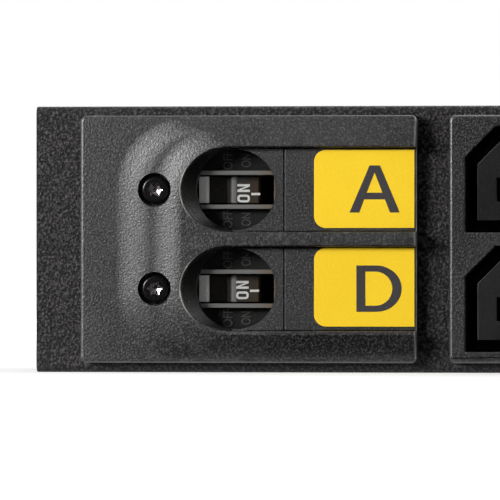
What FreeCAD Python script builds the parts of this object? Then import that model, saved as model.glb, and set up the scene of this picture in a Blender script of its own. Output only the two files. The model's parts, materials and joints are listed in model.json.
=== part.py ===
import FreeCAD, Part
import math
import os

# Rack power distribution unit: a folded sheet case with two guarded rocker breakers and six outlets.
# Millimetres. X runs along the unit, the front faces -Y, and Z is up across the unit.
# The origin is the centre of the rear face.

# Chassis sheet metal
CHASSIS_HEIGHT = 52.0
CHASSIS_DEPTH = 53.0
SHEET = 1.2
BEND_INSIDE = 0.4
NEST_GAP = 0.1
REAR_FLANGE = 14.0
END_RECESS = 1.0
END_FLANGE = 10.0
FLANGE_SPACE = 0.5

# Room left in fits, and the smallest length that counts
SLIP = 0.05
SEAT = 0.1
HAIR = 1e-6

# Layout along the unit
END_MARGIN = 9.1
MODULE_GAP = 6.2
INPUT_BAY = 38.0

# Bezels
BEZEL_BORDER = 1.9
BEZEL_RIM = 2.5
BEZEL_CORNER = 1.2
BEZEL_EDGE = 0.6
BREAKER_BEZEL_LENGTH = 66.0

# Mound on the breaker bezel: its toe, a terrace for the screws, then the crest
MOUND_TOE = 8.05
TERRACE_START = 12.8
TERRACE_END = 15.4
CREST_START = 19.4
TERRACE_RISE = 0.8
CREST_RISE = 1.7
TOE_CORNER = 9.5
CREST_CORNER = 6.4
CREST_LAND = 0.7
MOUND_SINK = 0.3
MOUND_MARGIN = 0.8
MOUND_BLEND = 0.4
BLEND_STEPS = 3

# Finger scoops and label channels
ROW_PITCH = 19.3
HOLE_FROM_LEFT = 30.55
HOLE_RADIUS = 7.86
SCOOP_LENGTH = 9.45
SCOOP_SHIFT = 1.0
CHANNEL_HALF = 8.2
CHANNEL_FLOOR = 2.2
CREST_EDGE = 0.35
CUT_OVERRUN = 1.0

# Label plates and label films
PLATE_FROM_LEFT = 40.0
PLATE_THICKNESS = 1.2
LABEL_FROM_LEFT = 45.9
LABEL_HEIGHT = 15.4
LABEL_FILM = 0.2
LABEL_CORNER = 2.3
LABEL_END = 0.2

# Tongues that hook the right side of the breaker bezel into the cover
TONGUE_FROM_RIGHT = 7.0
TONGUE_THICKNESS = 1.8
TONGUE_WIDTH = 10.0
TONGUE_LIP = 1.6
TONGUE_LIP_THICKNESS = 1.2
TONGUE_SWING = 0.8

# Screws that hold bezel, cover and breakers together
FIXING_OFFSET = 15.875
SCREW_RADIUS = 1.5
SCREW_CLEARANCE = 0.2
PAN_RADIUS = 2.75
PAN_HEIGHT = 1.9
COUNTERBORE_RADIUS = 3.3
COUNTERBORE_FLOOR = 0.7
LOBE_OUTER = 1.4
LOBE_INNER = 1.0
LOBE_COUNT = 6
DRIVE_DEPTH = 1.2
INSERT_WIDTH = 5.5
INSERT_LENGTH = 7.0
SCREW_GRIP = 6.0

# Breaker bodies
BREAKER_HALF_LENGTH = 25.0
BREAKER_WIDTH = 19.0
SPACE_BEHIND_BREAKER = 16.0
GUARD_LEFT = 12.4
GUARD_RIGHT = 10.4
GUARD_HALF = 8.6
GUARD_WALL = 0.6
GUARD_BELOW_COVER = 0.1
GUARD_FLOOR = 2.3
WINDOW_GAP = 0.2
RAIL_THICKNESS = 0.9
BLADE_THICKNESS = 1.0
BLADE_WIDTH = 6.3
BLADE_OFFSET = 17.0
BLADE_ROOT = 6.0
BLADE_REACH = 9.0

# Strap behind the breakers
STRAP_HALF = 8.0
STRAP_FLANGE = 12.0

# Rockers, drawn in the ON position; each point is (along the unit from the hole, below the cover face)
ROCKER_WIDTH = 5.2
ROCKER_SIDE_GAP = 0.25
PIVOT_ALONG = -1.85
PIVOT_DEPTH = 7.6
HUB_RADIUS = 2.4
PIN_RADIUS = 0.9
PIN_ROOM = 0.05
PIN_LENGTH = 9.0
TIP = (-7.7, -0.6, 0.25)
BROW = (-6.1, -0.3, 0.25)
VALLEY = (-2.3, -3.2, 0.2)
RIDGE = (-1.1, -2.4, 0.25)
FACE_END = (3.8, -3.2, 0.3)
TOE = (4.2, -3.9, 0.0)
HEEL = (4.0, -6.0, 0.0)
TAIL = (-7.2, -3.2, 0.0)
WELL_LEFT = 10.4
WELL_RIGHT = 7.2
WELL_DEPTH = 13.0

# Outlets
OUTLET_COUNT = 3
OUTLET_PITCH = 31.0
OUTLET_BORDER_X = 2.0
OUTLET_BORDER_Z = 2.2
OUTLET_EDGE = 0.5
RECESS_LENGTH = 28.6
OUTLET_WEB = 2.6
RECESS_BEVEL = 6.0
RECESS_WALL = 1.0
PLUG_ROOM = 2.3
CORE_BEVEL = 5.0
CORE_BELOW_RIM = 1.0
OUTLET_DEPTH = 18.0
OUTLET_BASE = 4.5
OUTLET_FLANGE = 1.5
OUTLET_FLANGE_LIP = 0.7
POLE_SPACING = 14.0
POLE_DROP = 2.0
EARTH_RISE = 2.0
SLOT_WIDTH = 2.4
SLOT_HEIGHT = 4.6
CAVITY_WIDTH = 3.8
CAVITY_HEIGHT = 5.2
SLOT_LIP = 4.0
HOOK_LENGTH = 9.0
HOOK_STEP = 0.6
HOOK_DEPTH = 3.0

# Contact strips
STRIP = 1.0
STRIP_HEIGHT = 4.5
STRIP_OFFSET = 7.25
LEAF = 0.5
LEAF_GAP = 2.0
LEAF_HEIGHT = 4.6
LEAF_REACH = 12.0
STRIP_END = 6.5
EARTH_STRIP_BEHIND = 2.0

# Input bay
BLOCK_LENGTH = 16.0
BLOCK_SIDE_GAP = 2.0
BLOCK_DEPTH = 19.0
BLOCK_FROM_END = 14.0
BLOCK_WALL = 1.0
CLAMP_LENGTH = 12.0
CLAMP_WIDTH = 7.0
CLAMP_DEPTH = 12.4
CLAMP_FROM_FRONT = 1.6
RELEASE_LENGTH = 4.0
RELEASE_WIDTH = 3.0

# Cord gland
GLAND_THREAD = 10.0
GLAND_BORE = 7.4
GLAND_HEX = 26.0
GLAND_FLANGE = 5.0
GLAND_NECK = 9.2
GLAND_NECK_LENGTH = 9.0
GLAND_TAIL = 8.0
LOCKNUT_THICKNESS = 4.0
NUT_HEX = 25.0
NUT_LENGTH = 13.5
NUT_NOSE = 1.6
NUT_LIP = 4.0
NUT_MOUTH = 6.4
CORD_RADIUS = 5.5
SEAL_LENGTH = 8.0

# Mounting buttons
BUTTON_SPACING = 133.35
BUTTON_NECK_RADIUS = 3.2
BUTTON_NECK = 2.6
BUTTON_HEAD_RADIUS = 5.0
BUTTON_HEAD = 3.0
BUTTON_SWAGE = 1.0

# Tabs of the rear channel that snap into the cover's sides
TAB_LENGTH = 9.0
TAB_DEPTH = 3.0
TAB_FROM_MIDDLE = 60.0
TAB_BELOW_SIDE = 0.2

# Wires and earth tab
WIRE_RADIUS = 1.25
WIRE_SIDES = 8
MITRED = 1
FEED_LEVEL = 9.0
SUPPLY_LEVEL = 13.5
EARTH_LEVEL = 16.8
JUMPER_BEHIND_STRIPS = 2.0
WIRE_LANDING = 3.0
WIRE_APPROACH = 6.0
EARTH_TAB = 1.0
EARTH_TAB_WIDTH = 6.3
EARTH_TAB_FOOT = 8.0
EARTH_TAB_RISE = 11.0
EARTH_TAB_FROM_BLOCK = 28.0
BOND_LEVEL = 8.5

# Places worked out from the sizes above
OUTLET_BEZEL_LENGTH = OUTLET_COUNT * OUTLET_PITCH + 2 * OUTLET_BORDER_X
LENGTH = END_MARGIN + BREAKER_BEZEL_LENGTH + MODULE_GAP + OUTLET_BEZEL_LENGTH + INPUT_BAY
LEFT_END = -LENGTH / 2
RIGHT_END = LENGTH / 2
HALF_HEIGHT = CHASSIS_HEIGHT / 2
NEST_HALF = HALF_HEIGHT - SHEET - NEST_GAP
BEZEL_HALF = HALF_HEIGHT - BEZEL_BORDER
BEZEL_LEFT = LEFT_END + END_MARGIN
BEZEL_RIGHT = BEZEL_LEFT + BREAKER_BEZEL_LENGTH
OUTLET_LEFT = BEZEL_RIGHT + MODULE_GAP
OUTLET_RIGHT = OUTLET_LEFT + OUTLET_BEZEL_LENGTH
HOLE_X = BEZEL_LEFT + HOLE_FROM_LEFT
CREST = BEZEL_RIM + CREST_RISE
ABOVE_CREST = CREST + CUT_OVERRUN
PLATE_FLOOR = CHANNEL_FLOOR - PLATE_THICKNESS
PLATE_LEFT = BEZEL_LEFT + PLATE_FROM_LEFT
MOUND_RIGHT = BEZEL_RIGHT - MOUND_MARGIN
ROWS = {"a": ROW_PITCH / 2, "d": -ROW_PITCH / 2}
RECESS_HEIGHT = BEZEL_HALF - OUTLET_BORDER_Z - OUTLET_WEB / 2
CORE_LENGTH = RECESS_LENGTH - 2 * PLUG_ROOM
CORE_HEIGHT = RECESS_HEIGHT - 2 * PLUG_ROOM
OUTLET_ROW = (RECESS_HEIGHT + OUTLET_WEB) / 2
OUTLET_ROWS = {"a": OUTLET_ROW, "d": -OUTLET_ROW}
BREAKER_FRONT = -SHEET
LIP = CREST - CREST_EDGE
BREAKER_BACK = SPACE_BEHIND_BREAKER - CHASSIS_DEPTH
WELL_HALF = ROCKER_WIDTH / 2 + ROCKER_SIDE_GAP
RAIL_HALF = WELL_HALF + RAIL_THICKNESS
SCREW_HOLE = SCREW_RADIUS + SCREW_CLEARANCE
OUTLET_FLOOR = BEZEL_RIM - OUTLET_DEPTH
OUTLET_BACK = OUTLET_FLOOR - OUTLET_BASE
STRIP_FRONT = OUTLET_BACK - OUTLET_FLANGE - SEAT
EARTH_STRIP_FRONT = STRIP_FRONT - STRIP - EARTH_STRIP_BEHIND
BLOCK_RIGHT = RIGHT_END - BLOCK_FROM_END
BLOCK_LEFT = BLOCK_RIGHT - BLOCK_LENGTH
BLOCK_HALF = NEST_HALF - SHEET - BLOCK_SIDE_GAP
POLE_PITCH = (BLOCK_HALF - CLAMP_WIDTH / 2 - BLOCK_WALL) / 1.5
CLAMP_POLES = {"line_a": 1.5 * POLE_PITCH, "earth": 0.5 * POLE_PITCH,
               "neutral": -0.5 * POLE_PITCH, "line_d": -1.5 * POLE_PITCH}
END_MIDDLE = -CHASSIS_DEPTH / 2


# Basic shapes

def vec(x, y, z):
    return FreeCAD.Vector(x, y, z)


def front(height):
    """The y of a point that stands this far in front of the cover's face."""
    return -CHASSIS_DEPTH - height


def block(x_range, y_range, z_range):
    lows = [min(span) for span in (x_range, y_range, z_range)]
    sizes = [abs(span[1] - span[0]) for span in (x_range, y_range, z_range)]
    return Part.makeBox(*sizes, vec(*lows))


def slab(x_range, heights, z_range):
    """A block whose depth is given by heights in front of the cover's face."""
    return block(x_range, [front(height) for height in heights], z_range)


def around(centre, half):
    return (centre - half, centre + half)


def rod(radius, start, end):
    return Part.makeCylinder(radius, (end - start).Length, start, end - start)


def stud(x, z, radius, heights):
    """A round bar square to the cover's face, between two heights."""
    return rod(radius, vec(x, front(heights[0]), z), vec(x, front(heights[1]), z))


def outline(corners, place):
    """A closed wire through (a, b, radius) corners, each rounded by its radius."""
    bends = []
    for index, (a, b, radius) in enumerate(corners):
        corner = vec(a, b, 0)
        before = (vec(*corners[index - 1][:2], 0) - corner).normalize()
        after = (vec(*corners[(index + 1) % len(corners)][:2], 0) - corner).normalize()
        half_angle = before.getAngle(after) / 2
        reach = radius / math.tan(half_angle)
        inward = (before + after).normalize()
        middle = corner + inward * (radius / math.sin(half_angle) - radius)
        bends.append((corner + before * reach, middle, corner + after * reach, radius))
    edges = []
    for index, (start, middle, end, radius) in enumerate(bends):
        if radius > 0:
            edges.append(Part.Arc(place(start), place(middle), place(end)).toShape())
        following = bends[(index + 1) % len(bends)][0]
        if not end.isEqual(following, HAIR):
            edges.append(Part.LineSegment(place(end), place(following)).toShape())
    return Part.Wire(edges)


def rectangle(x_range, z_range, radius):
    (left, right), (low, high) = x_range, z_range
    return [(left, low, radius), (right, low, radius), (right, high, radius), (left, high, radius)]


def face_prism(corners, heights):
    """An outline in the plane of the cover's face, extruded between two heights."""
    wire = outline(corners, lambda point: vec(point.x, front(heights[0]), point.y))
    return Part.Face(wire).extrude(vec(0, heights[0] - heights[1], 0))


def joined(shapes):
    return shapes[0].multiFuse(shapes[1:]).removeSplitter()


def regular_outline(sides, radius, start, along):
    """A closed regular polygon square to a direction, with a corner towards +Z where that is possible."""
    side = vec(0, 0, 1)
    if along.isParallel(side, SLIP):
        side = vec(1, 0, 0)
    other = along.cross(side).normalize()
    corners = []
    for step in range(sides + 1):
        angle = 2 * math.pi * step / sides
        corners.append(start + side * (radius * math.cos(angle)) + other * (radius * math.sin(angle)))
    return Part.makePolygon(corners)


def hexagon_prism(across_flats, start, along):
    """A hexagonal bar; along gives its direction and length."""
    return Part.Face(regular_outline(6, across_flats / math.sqrt(3), start, along)).extrude(along)


def folded_channel(half_width, depth, place, run):
    """A U of bent sheet. Its section is (across, depth from the outer face of the web)."""
    outer = BEND_INSIDE + SHEET
    inner_half = half_width - SHEET
    corners = [(-half_width, depth, 0), (-half_width, 0, outer), (half_width, 0, outer),
               (half_width, depth, 0), (inner_half, depth, 0), (inner_half, SHEET, BEND_INSIDE),
               (-inner_half, SHEET, BEND_INSIDE), (-inner_half, depth, 0)]
    return Part.Face(outline(corners, place)).extrude(run)


def wire(points):
    """An insulated wire inside the case, drawn as an eight-sided bar with mitred turns."""
    route = [vec(*point) for point in points]
    section = regular_outline(WIRE_SIDES, WIRE_RADIUS, route[0], route[1] - route[0])
    return Part.makePolygon(route).makePipeShell([section], True, False, MITRED)


# Where fasteners and tabs go

def fixing_places():
    """Centres of the screws on the left of the finger holes, one for each breaker."""
    return [(HOLE_X - FIXING_OFFSET, row) for row in ROWS.values()]


def side_tabs(room):
    """The snap tabs of both long sides, grown by some room for their slots."""
    tabs = []
    y_range = around(-REAR_FLANGE / 2, TAB_DEPTH / 2 + room)
    for side in (1, -1):
        z_range = (side * (NEST_HALF - SHEET), side * (HALF_HEIGHT - TAB_BELOW_SIDE + room))
        for x in (-TAB_FROM_MIDDLE, TAB_FROM_MIDDLE):
            tabs.append(block(around(x, TAB_LENGTH / 2 + room), y_range, z_range))
    return tabs


# Chassis

def outlet_block_span():
    reach = (OUTLET_COUNT - 1) * OUTLET_PITCH / 2 + RECESS_LENGTH / 2 + RECESS_WALL
    rise = OUTLET_ROW + RECESS_HEIGHT / 2 + RECESS_WALL
    return around((OUTLET_LEFT + OUTLET_RIGHT) / 2, reach), around(0, rise)


def front_cover():
    shell = folded_channel(HALF_HEIGHT, CHASSIS_DEPTH,
                           lambda point: vec(LEFT_END, front(0) + point.y, point.x), vec(LENGTH, 0, 0))
    through = (-2 * SHEET, SHEET)
    window_half = ROW_PITCH / 2 + GUARD_HALF + WINDOW_GAP
    cuts = [slab((HOLE_X - GUARD_LEFT - WINDOW_GAP, HOLE_X + GUARD_RIGHT + WINDOW_GAP), through,
                 around(0, window_half))]
    across, upright = outlet_block_span()
    cuts.append(slab((across[0] - WINDOW_GAP, across[1] + WINDOW_GAP), through,
                     (upright[0] - WINDOW_GAP, upright[1] + WINDOW_GAP)))
    cuts += [stud(x, z, SCREW_HOLE, through) for x, z in fixing_places()]
    for row in ROWS.values():
        left, right = tongue_span()
        cuts.append(slab((left - TONGUE_SWING, right + SEAT), through, around(row, TONGUE_WIDTH / 2 + SEAT)))
    return shell.cut(cuts + side_tabs(SEAT + TAB_BELOW_SIDE))


def rear_channel():
    shell = folded_channel(NEST_HALF, REAR_FLANGE,
                           lambda point: vec(LEFT_END, -point.y, point.x), vec(LENGTH, 0, 0))
    clear = END_RECESS + END_FLANGE + FLANGE_SPACE
    ends = []
    for x_range in ((LEFT_END - SEAT, LEFT_END + clear), (RIGHT_END - clear, RIGHT_END + SEAT)):
        ends.append(block(x_range, (-SHEET, -REAR_FLANGE - SEAT), around(0, HALF_HEIGHT)))
    buttons = [rod(BUTTON_NECK_RADIUS, vec(x, -2 * SHEET, 0), vec(x, SHEET, 0)) for x in button_places()]
    return joined([shell.cut(ends + buttons)] + side_tabs(0))


def end_plate(side):
    outer = side * (RIGHT_END - END_RECESS)
    low, high = front(-SHEET - BEND_INSIDE), -SHEET - NEST_GAP
    shell = folded_channel(NEST_HALF, END_FLANGE,
                           lambda point: vec(outer - side * point.y, low, point.x), vec(0, high - low, 0))
    if side > 0:
        hole = rod(GLAND_THREAD + SEAT, gland_point(outer - END_FLANGE), gland_point(outer + SHEET))
        shell = shell.cut(hole)
    return shell


def breaker_strap():
    """A folded strap welded across the cover; it holds the breakers against the cover's face."""
    rear = front(BREAKER_BACK - SEAT - SHEET)
    return folded_channel(HALF_HEIGHT - SHEET, STRAP_FLANGE,
                          lambda point: vec(HOLE_X - STRAP_HALF, rear - point.y, point.x),
                          vec(2 * STRAP_HALF, 0, 0))


# Rack buttons

def button_places():
    return (-BUTTON_SPACING / 2, BUTTON_SPACING / 2)


def mounting_button(x):
    """A button pressed into the rear channel; its shank is swaged inside."""
    shank = rod(BUTTON_NECK_RADIUS, vec(x, -SHEET - BUTTON_SWAGE, 0), vec(x, BUTTON_NECK, 0))
    head = rod(BUTTON_HEAD_RADIUS, vec(x, BUTTON_NECK, 0), vec(x, BUTTON_NECK + BUTTON_HEAD, 0))
    return shank.fuse(head)


# Breaker bezel

def mound_profile():
    """(inset, rise) steps up the left flank, with the corners of the terrace and the crest blended."""
    crest_end = CREST_START + MOUND_BLEND * (CREST_START - TERRACE_END)
    knees = [(MOUND_TOE, 0), (TERRACE_START, TERRACE_RISE), (TERRACE_END, TERRACE_RISE + SLIP),
             (CREST_START, CREST_RISE), (crest_end, CREST_RISE)]
    steps = [(MOUND_TOE, -MOUND_SINK), knees[0]]
    for before, knee, after in zip(knees, knees[1:], knees[2:]):
        start = [knee[axis] + MOUND_BLEND * (before[axis] - knee[axis]) for axis in (0, 1)]
        end = [knee[axis] + MOUND_BLEND * (after[axis] - knee[axis]) for axis in (0, 1)]
        for step in range(BLEND_STEPS):
            share = step / (BLEND_STEPS - 1)
            weights = ((1 - share) ** 2, 2 * share * (1 - share), share ** 2)
            points = list(zip(weights, (start, knee, end)))
            steps.append([sum(weight * point[axis] for weight, point in points) for axis in (0, 1)])
    return steps


def mound():
    """The sculpted mound: level sections from its toe, over the terrace, up to the crest."""
    foot = BEZEL_HALF - MOUND_MARGIN
    crest_half = ROW_PITCH / 2 + CHANNEL_HALF + CREST_LAND
    lean = (foot - crest_half) / CREST_RISE
    sections = []
    for left, rise in mound_profile():
        climb = max(rise, 0)
        half = foot - lean * climb
        corner = TOE_CORNER + (CREST_CORNER - TOE_CORNER) * climb / CREST_RISE
        corners = [(BEZEL_LEFT + left, half, corner), (BEZEL_LEFT + left, -half, corner),
                   (MOUND_RIGHT, -half, 0), (MOUND_RIGHT, half, 0)]
        level = front(BEZEL_RIM + rise)
        sections.append(outline(corners, lambda point: vec(point.x, level, point.y)))
    return Part.makeLoft(sections, True, True)


def bezel_plate(x_range):
    """A bezel's base plate and the edges round its front."""
    plate = face_prism(rectangle(x_range, around(0, BEZEL_HALF), BEZEL_CORNER), (0, BEZEL_RIM))
    rim = front(BEZEL_RIM)
    return plate, [edge for edge in plate.Edges if all(abs(end.Y - rim) < SLIP for end in edge.Vertexes)]


def scoop(row):
    """The space for a finger: a round hole that widens towards the left as it reaches the crest."""
    hole = stud(HOLE_X, row, HOLE_RADIUS, (-SHEET, CHANNEL_FLOOR + SEAT))
    ring = Part.makeCircle(HOLE_RADIUS, vec(HOLE_X, front(CHANNEL_FLOOR), row), vec(0, -1, 0))
    sections = [Part.Wire(ring)]
    for level in (LIP, ABOVE_CREST):
        spread = level - LIP
        centre = vec(HOLE_X - SCOOP_SHIFT, front(level), row)
        far, high = vec(SCOOP_LENGTH + spread, 0, 0), vec(0, 0, CHANNEL_HALF + spread)
        sections.append(Part.Wire(Part.Ellipse(centre + far, centre + high, centre).toShape()))
    return hole.fuse(Part.makeLoft(sections, True, True))


def channel(row):
    """The label's channel from the scoop to the right end, with bevelled top edges."""
    start = HOLE_X - SCOOP_SHIFT
    half, spread = CHANNEL_HALF, CHANNEL_HALF + ABOVE_CREST - LIP
    corners = [(-half, CHANNEL_FLOOR, 0), (half, CHANNEL_FLOOR, 0), (half, LIP, 0),
               (spread, ABOVE_CREST, 0), (-spread, ABOVE_CREST, 0), (-half, LIP, 0)]
    section = outline(corners, lambda point: vec(start, front(point.y), row + point.x))
    return Part.Face(section).extrude(vec(BEZEL_RIGHT + SHEET - start, 0, 0))


def tongue_span():
    left = BEZEL_RIGHT - TONGUE_FROM_RIGHT
    return left, left + TONGUE_THICKNESS


def tongue(row):
    """A tongue under the bezel whose lip hooks behind the cover."""
    left, right = tongue_span()
    behind = -SHEET - SEAT
    z_range = around(row, TONGUE_WIDTH / 2)
    stem = slab((left, right), (behind - TONGUE_LIP_THICKNESS, 0), z_range)
    return stem.fuse(slab((right, right + TONGUE_LIP), (behind - TONGUE_LIP_THICKNESS, behind), z_range))


def breaker_bezel():
    plate, front_edges = bezel_plate((BEZEL_LEFT, BEZEL_RIGHT))
    rounded = plate.makeFillet(BEZEL_EDGE, front_edges)
    body = joined([rounded, mound()] + [tongue(row) for row in ROWS.values()])
    cuts = []
    for row in ROWS.values():
        cuts.append(scoop(row))
        cuts.append(channel(row))
        cuts.append(slab((PLATE_LEFT, MOUND_RIGHT), (PLATE_FLOOR, CHANNEL_FLOOR), around(row, CHANNEL_HALF)))
    for x, z in fixing_places():
        cuts.append(stud(x, z, SCREW_HOLE, (-SHEET, ABOVE_CREST)))
        cuts.append(stud(x, z, COUNTERBORE_RADIUS, (COUNTERBORE_FLOOR, ABOVE_CREST)))
    return body.cut(cuts).removeSplitter()


# Screws through the bezel

def drive_recess(x, z, top):
    """A six-pointed driver recess."""
    corners = []
    for step in range(2 * LOBE_COUNT + 1):
        angle = math.pi * step / LOBE_COUNT
        radius = LOBE_INNER if step % 2 else LOBE_OUTER
        corners.append(vec(x + radius * math.cos(angle), front(top), z + radius * math.sin(angle)))
    return Part.Face(Part.makePolygon(corners)).extrude(vec(0, DRIVE_DEPTH, 0))


def pan_screw(x, z):
    top = COUNTERBORE_FLOOR + PAN_HEIGHT
    shank = stud(x, z, SCREW_RADIUS, (-SHEET - SCREW_GRIP, COUNTERBORE_FLOOR))
    head = stud(x, z, PAN_RADIUS, (COUNTERBORE_FLOOR, top))
    return shank.fuse(head).removeSplitter().cut(drive_recess(x, z, top))


# Labels

def label_plate(row):
    x_range = (PLATE_LEFT + SEAT, MOUND_RIGHT - SEAT)
    return slab(x_range, (PLATE_FLOOR, CHANNEL_FLOOR), around(row, CHANNEL_HALF - SEAT))


def label_film(row):
    left, right = BEZEL_LEFT + LABEL_FROM_LEFT, MOUND_RIGHT - LABEL_END
    low, high = around(row, LABEL_HEIGHT / 2)
    corners = [(left, low, LABEL_CORNER), (right, low, 0), (right, high, 0), (left, high, LABEL_CORNER)]
    return face_prism(corners, (CHANNEL_FLOOR, CHANNEL_FLOOR + LABEL_FILM))


# Breakers

def blade(row, side, room):
    x_range = around(HOLE_X + side * BLADE_OFFSET, BLADE_THICKNESS / 2 + room)
    heights = (BREAKER_BACK - BLADE_REACH, BREAKER_BACK + BLADE_ROOT)
    return slab(x_range, heights, around(row, BLADE_WIDTH / 2 + room))


def rocker_pin(row, room):
    axis = (HOLE_X + PIVOT_ALONG, front(-PIVOT_DEPTH))
    half = PIN_LENGTH / 2 + room
    return rod(PIN_RADIUS + room, vec(*axis, row - half), vec(*axis, row + half))


def breaker_case(row):
    half = BREAKER_WIDTH / 2
    body = slab(around(HOLE_X, BREAKER_HALF_LENGTH), (BREAKER_BACK, BREAKER_FRONT), around(row, half))
    top = -GUARD_BELOW_COVER
    guard = slab((HOLE_X - GUARD_LEFT, HOLE_X + GUARD_RIGHT), (BREAKER_FRONT, top), around(row, GUARD_HALF))
    cuts = [slab((HOLE_X - WELL_LEFT, HOLE_X + WELL_RIGHT), (-WELL_DEPTH, 0), around(row, WELL_HALF))]
    flank_x = (HOLE_X - GUARD_LEFT + GUARD_WALL, HOLE_X + GUARD_RIGHT - GUARD_WALL)
    for side in (1, -1):
        flank_z = (row + side * RAIL_HALF, row + side * (GUARD_HALF - GUARD_WALL))
        cuts.append(slab(flank_x, (-GUARD_FLOOR, 0), flank_z))
        cuts.append(blade(row, side, SLIP))
    cuts += [insert_block(row, SLIP), rocker_pin(row, SLIP / 2)]
    return body.fuse(guard).removeSplitter().cut(cuts)


def case_half(row, side):
    everything = (-CHASSIS_DEPTH, CHASSIS_DEPTH)
    half_space = slab(around(HOLE_X, CHASSIS_DEPTH), everything, (row, row + side * BREAKER_WIDTH))
    return breaker_case(row).common(half_space)


def insert_block(row, room):
    """A square brass nut let into the front of the case, grown by some room for its pocket."""
    half = INSERT_WIDTH / 2 + room
    heights = (BREAKER_FRONT - INSERT_LENGTH - room, BREAKER_FRONT)
    return slab(around(HOLE_X - FIXING_OFFSET, half), heights, around(row, half))


def insert(row):
    thread = stud(HOLE_X - FIXING_OFFSET, row, SCREW_RADIUS + SLIP, (-CHASSIS_DEPTH, 0))
    return insert_block(row, 0).cut(thread)


def rocker(row):
    """A finger rocker: a raised tip, a hollow, then the face that shows its state."""
    hub = (PIVOT_ALONG, -PIVOT_DEPTH)
    corners = [TIP, BROW, VALLEY, RIDGE, FACE_END, TOE, HEEL, (*hub, 0), TAIL]
    low = row - ROCKER_WIDTH / 2
    wire = outline(corners, lambda point: vec(HOLE_X + point.x, front(point.y), low))
    body = Part.Face(wire).extrude(vec(0, 0, ROCKER_WIDTH))
    axis = (HOLE_X + hub[0], front(hub[1]))
    boss = rod(HUB_RADIUS, vec(*axis, low), vec(*axis, low + ROCKER_WIDTH))
    return body.fuse(boss).removeSplitter().cut(rocker_pin(row, PIN_ROOM))


# Outlets

def outlet_centres():
    middle = (OUTLET_LEFT + OUTLET_RIGHT) / 2
    return [middle + (step - (OUTLET_COUNT - 1) / 2) * OUTLET_PITCH for step in range(OUTLET_COUNT)]


def outlet_outline(x, z, length, height, bevel):
    """The shape of an appliance outlet: a rectangle with the two upper corners bevelled."""
    left, right = around(x, length / 2)
    low, high = around(z, height / 2)
    return [(left, low, 0), (right, low, 0), (right, high - bevel, 0), (right - bevel, high, 0),
            (left + bevel, high, 0), (left, high - bevel, 0)]


def outlet_bezel():
    plate, front_edges = bezel_plate((OUTLET_LEFT, OUTLET_RIGHT))
    across, upright = outlet_block_span()
    box = slab(across, (OUTLET_BACK, BEZEL_RIM / 2), upright)
    pieces = [plate.makeChamfer(OUTLET_EDGE, front_edges), box]
    for side, edge in zip((-1, 1), upright):
        for x in outlet_centres():
            catch = -SHEET - SEAT
            points = [vec(x - HOOK_LENGTH / 2, front(catch), edge),
                      vec(x - HOOK_LENGTH / 2, front(catch), edge + side * HOOK_STEP),
                      vec(x - HOOK_LENGTH / 2, front(catch - HOOK_DEPTH), edge)]
            wedge = Part.Face(Part.makePolygon(points + points[:1])).extrude(vec(HOOK_LENGTH, 0, 0))
            pieces.append(wedge)
    wells = []
    for row in OUTLET_ROWS.values():
        for x in outlet_centres():
            shape = outlet_outline(x, row, RECESS_LENGTH, RECESS_HEIGHT, RECESS_BEVEL)
            wells.append(face_prism(shape, (OUTLET_BACK - SHEET, BEZEL_RIM + SHEET)))
    return joined(pieces).cut(wells)


def pole_places(x, row):
    """Slot centres of one outlet: line, neutral and earth."""
    side = POLE_SPACING / 2
    low = row - POLE_DROP
    return {"line": (x - side, low), "neutral": (x + side, low), "earth": (x, row + EARTH_RISE)}


def outlet_insert(x, row):
    face = BEZEL_RIM - CORE_BELOW_RIM
    core = face_prism(outlet_outline(x, row, CORE_LENGTH, CORE_HEIGHT, CORE_BEVEL), (OUTLET_FLOOR, face))
    base_outline = outlet_outline(x, row, RECESS_LENGTH - 2 * SEAT, RECESS_HEIGHT - 2 * SEAT, RECESS_BEVEL)
    base = face_prism(base_outline, (OUTLET_BACK, OUTLET_FLOOR))
    flange_x = around(x, RECESS_LENGTH / 2 + OUTLET_FLANGE_LIP)
    flange_z = around(row, RECESS_HEIGHT / 2 + OUTLET_FLANGE_LIP)
    flange = slab(flange_x, (OUTLET_BACK - OUTLET_FLANGE, OUTLET_BACK), flange_z)
    cuts = []
    back = OUTLET_BACK - 2 * OUTLET_FLANGE
    for along, upright in pole_places(x, row).values():
        slot = slab(around(along, SLOT_WIDTH / 2), (back, BEZEL_RIM), around(upright, SLOT_HEIGHT / 2))
        cavity_z = around(upright, CAVITY_HEIGHT / 2)
        cuts += [slot, slab(around(along, CAVITY_WIDTH / 2), (back, face - SLOT_LIP), cavity_z)]
    return joined([core, base, flange]).cut(cuts)


def contact_strip(pole, row):
    """A strip along one row of outlets with a pair of spring leaves for each outlet."""
    level = EARTH_STRIP_FRONT if pole == "earth" else STRIP_FRONT
    offset = {"line": -STRIP_OFFSET, "neutral": STRIP_OFFSET, "earth": EARTH_RISE}[pole]
    strip_z = around(row + offset, STRIP_HEIGHT / 2)
    places = [pole_places(x, row)[pole] for x in outlet_centres()]
    span = (places[0][0] - STRIP_END, places[-1][0] + STRIP_END)
    pieces = [slab(span, (level - STRIP, level), strip_z)]
    tip = STRIP_FRONT + LEAF_REACH
    for x, z in places:
        leaf_z = around(z, LEAF_HEIGHT / 2)
        tab_z = (min(leaf_z[0], strip_z[0]), max(leaf_z[1], strip_z[1]))
        pieces.append(slab(around(x, LEAF_GAP / 2 + LEAF), (level - STRIP, level), tab_z))
        for side in (1, -1):
            leaf_x = (x + side * LEAF_GAP / 2, x + side * (LEAF_GAP / 2 + LEAF))
            pieces.append(slab(leaf_x, (level - STRIP, tip), leaf_z))
    return joined(pieces)


# Input bay

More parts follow.
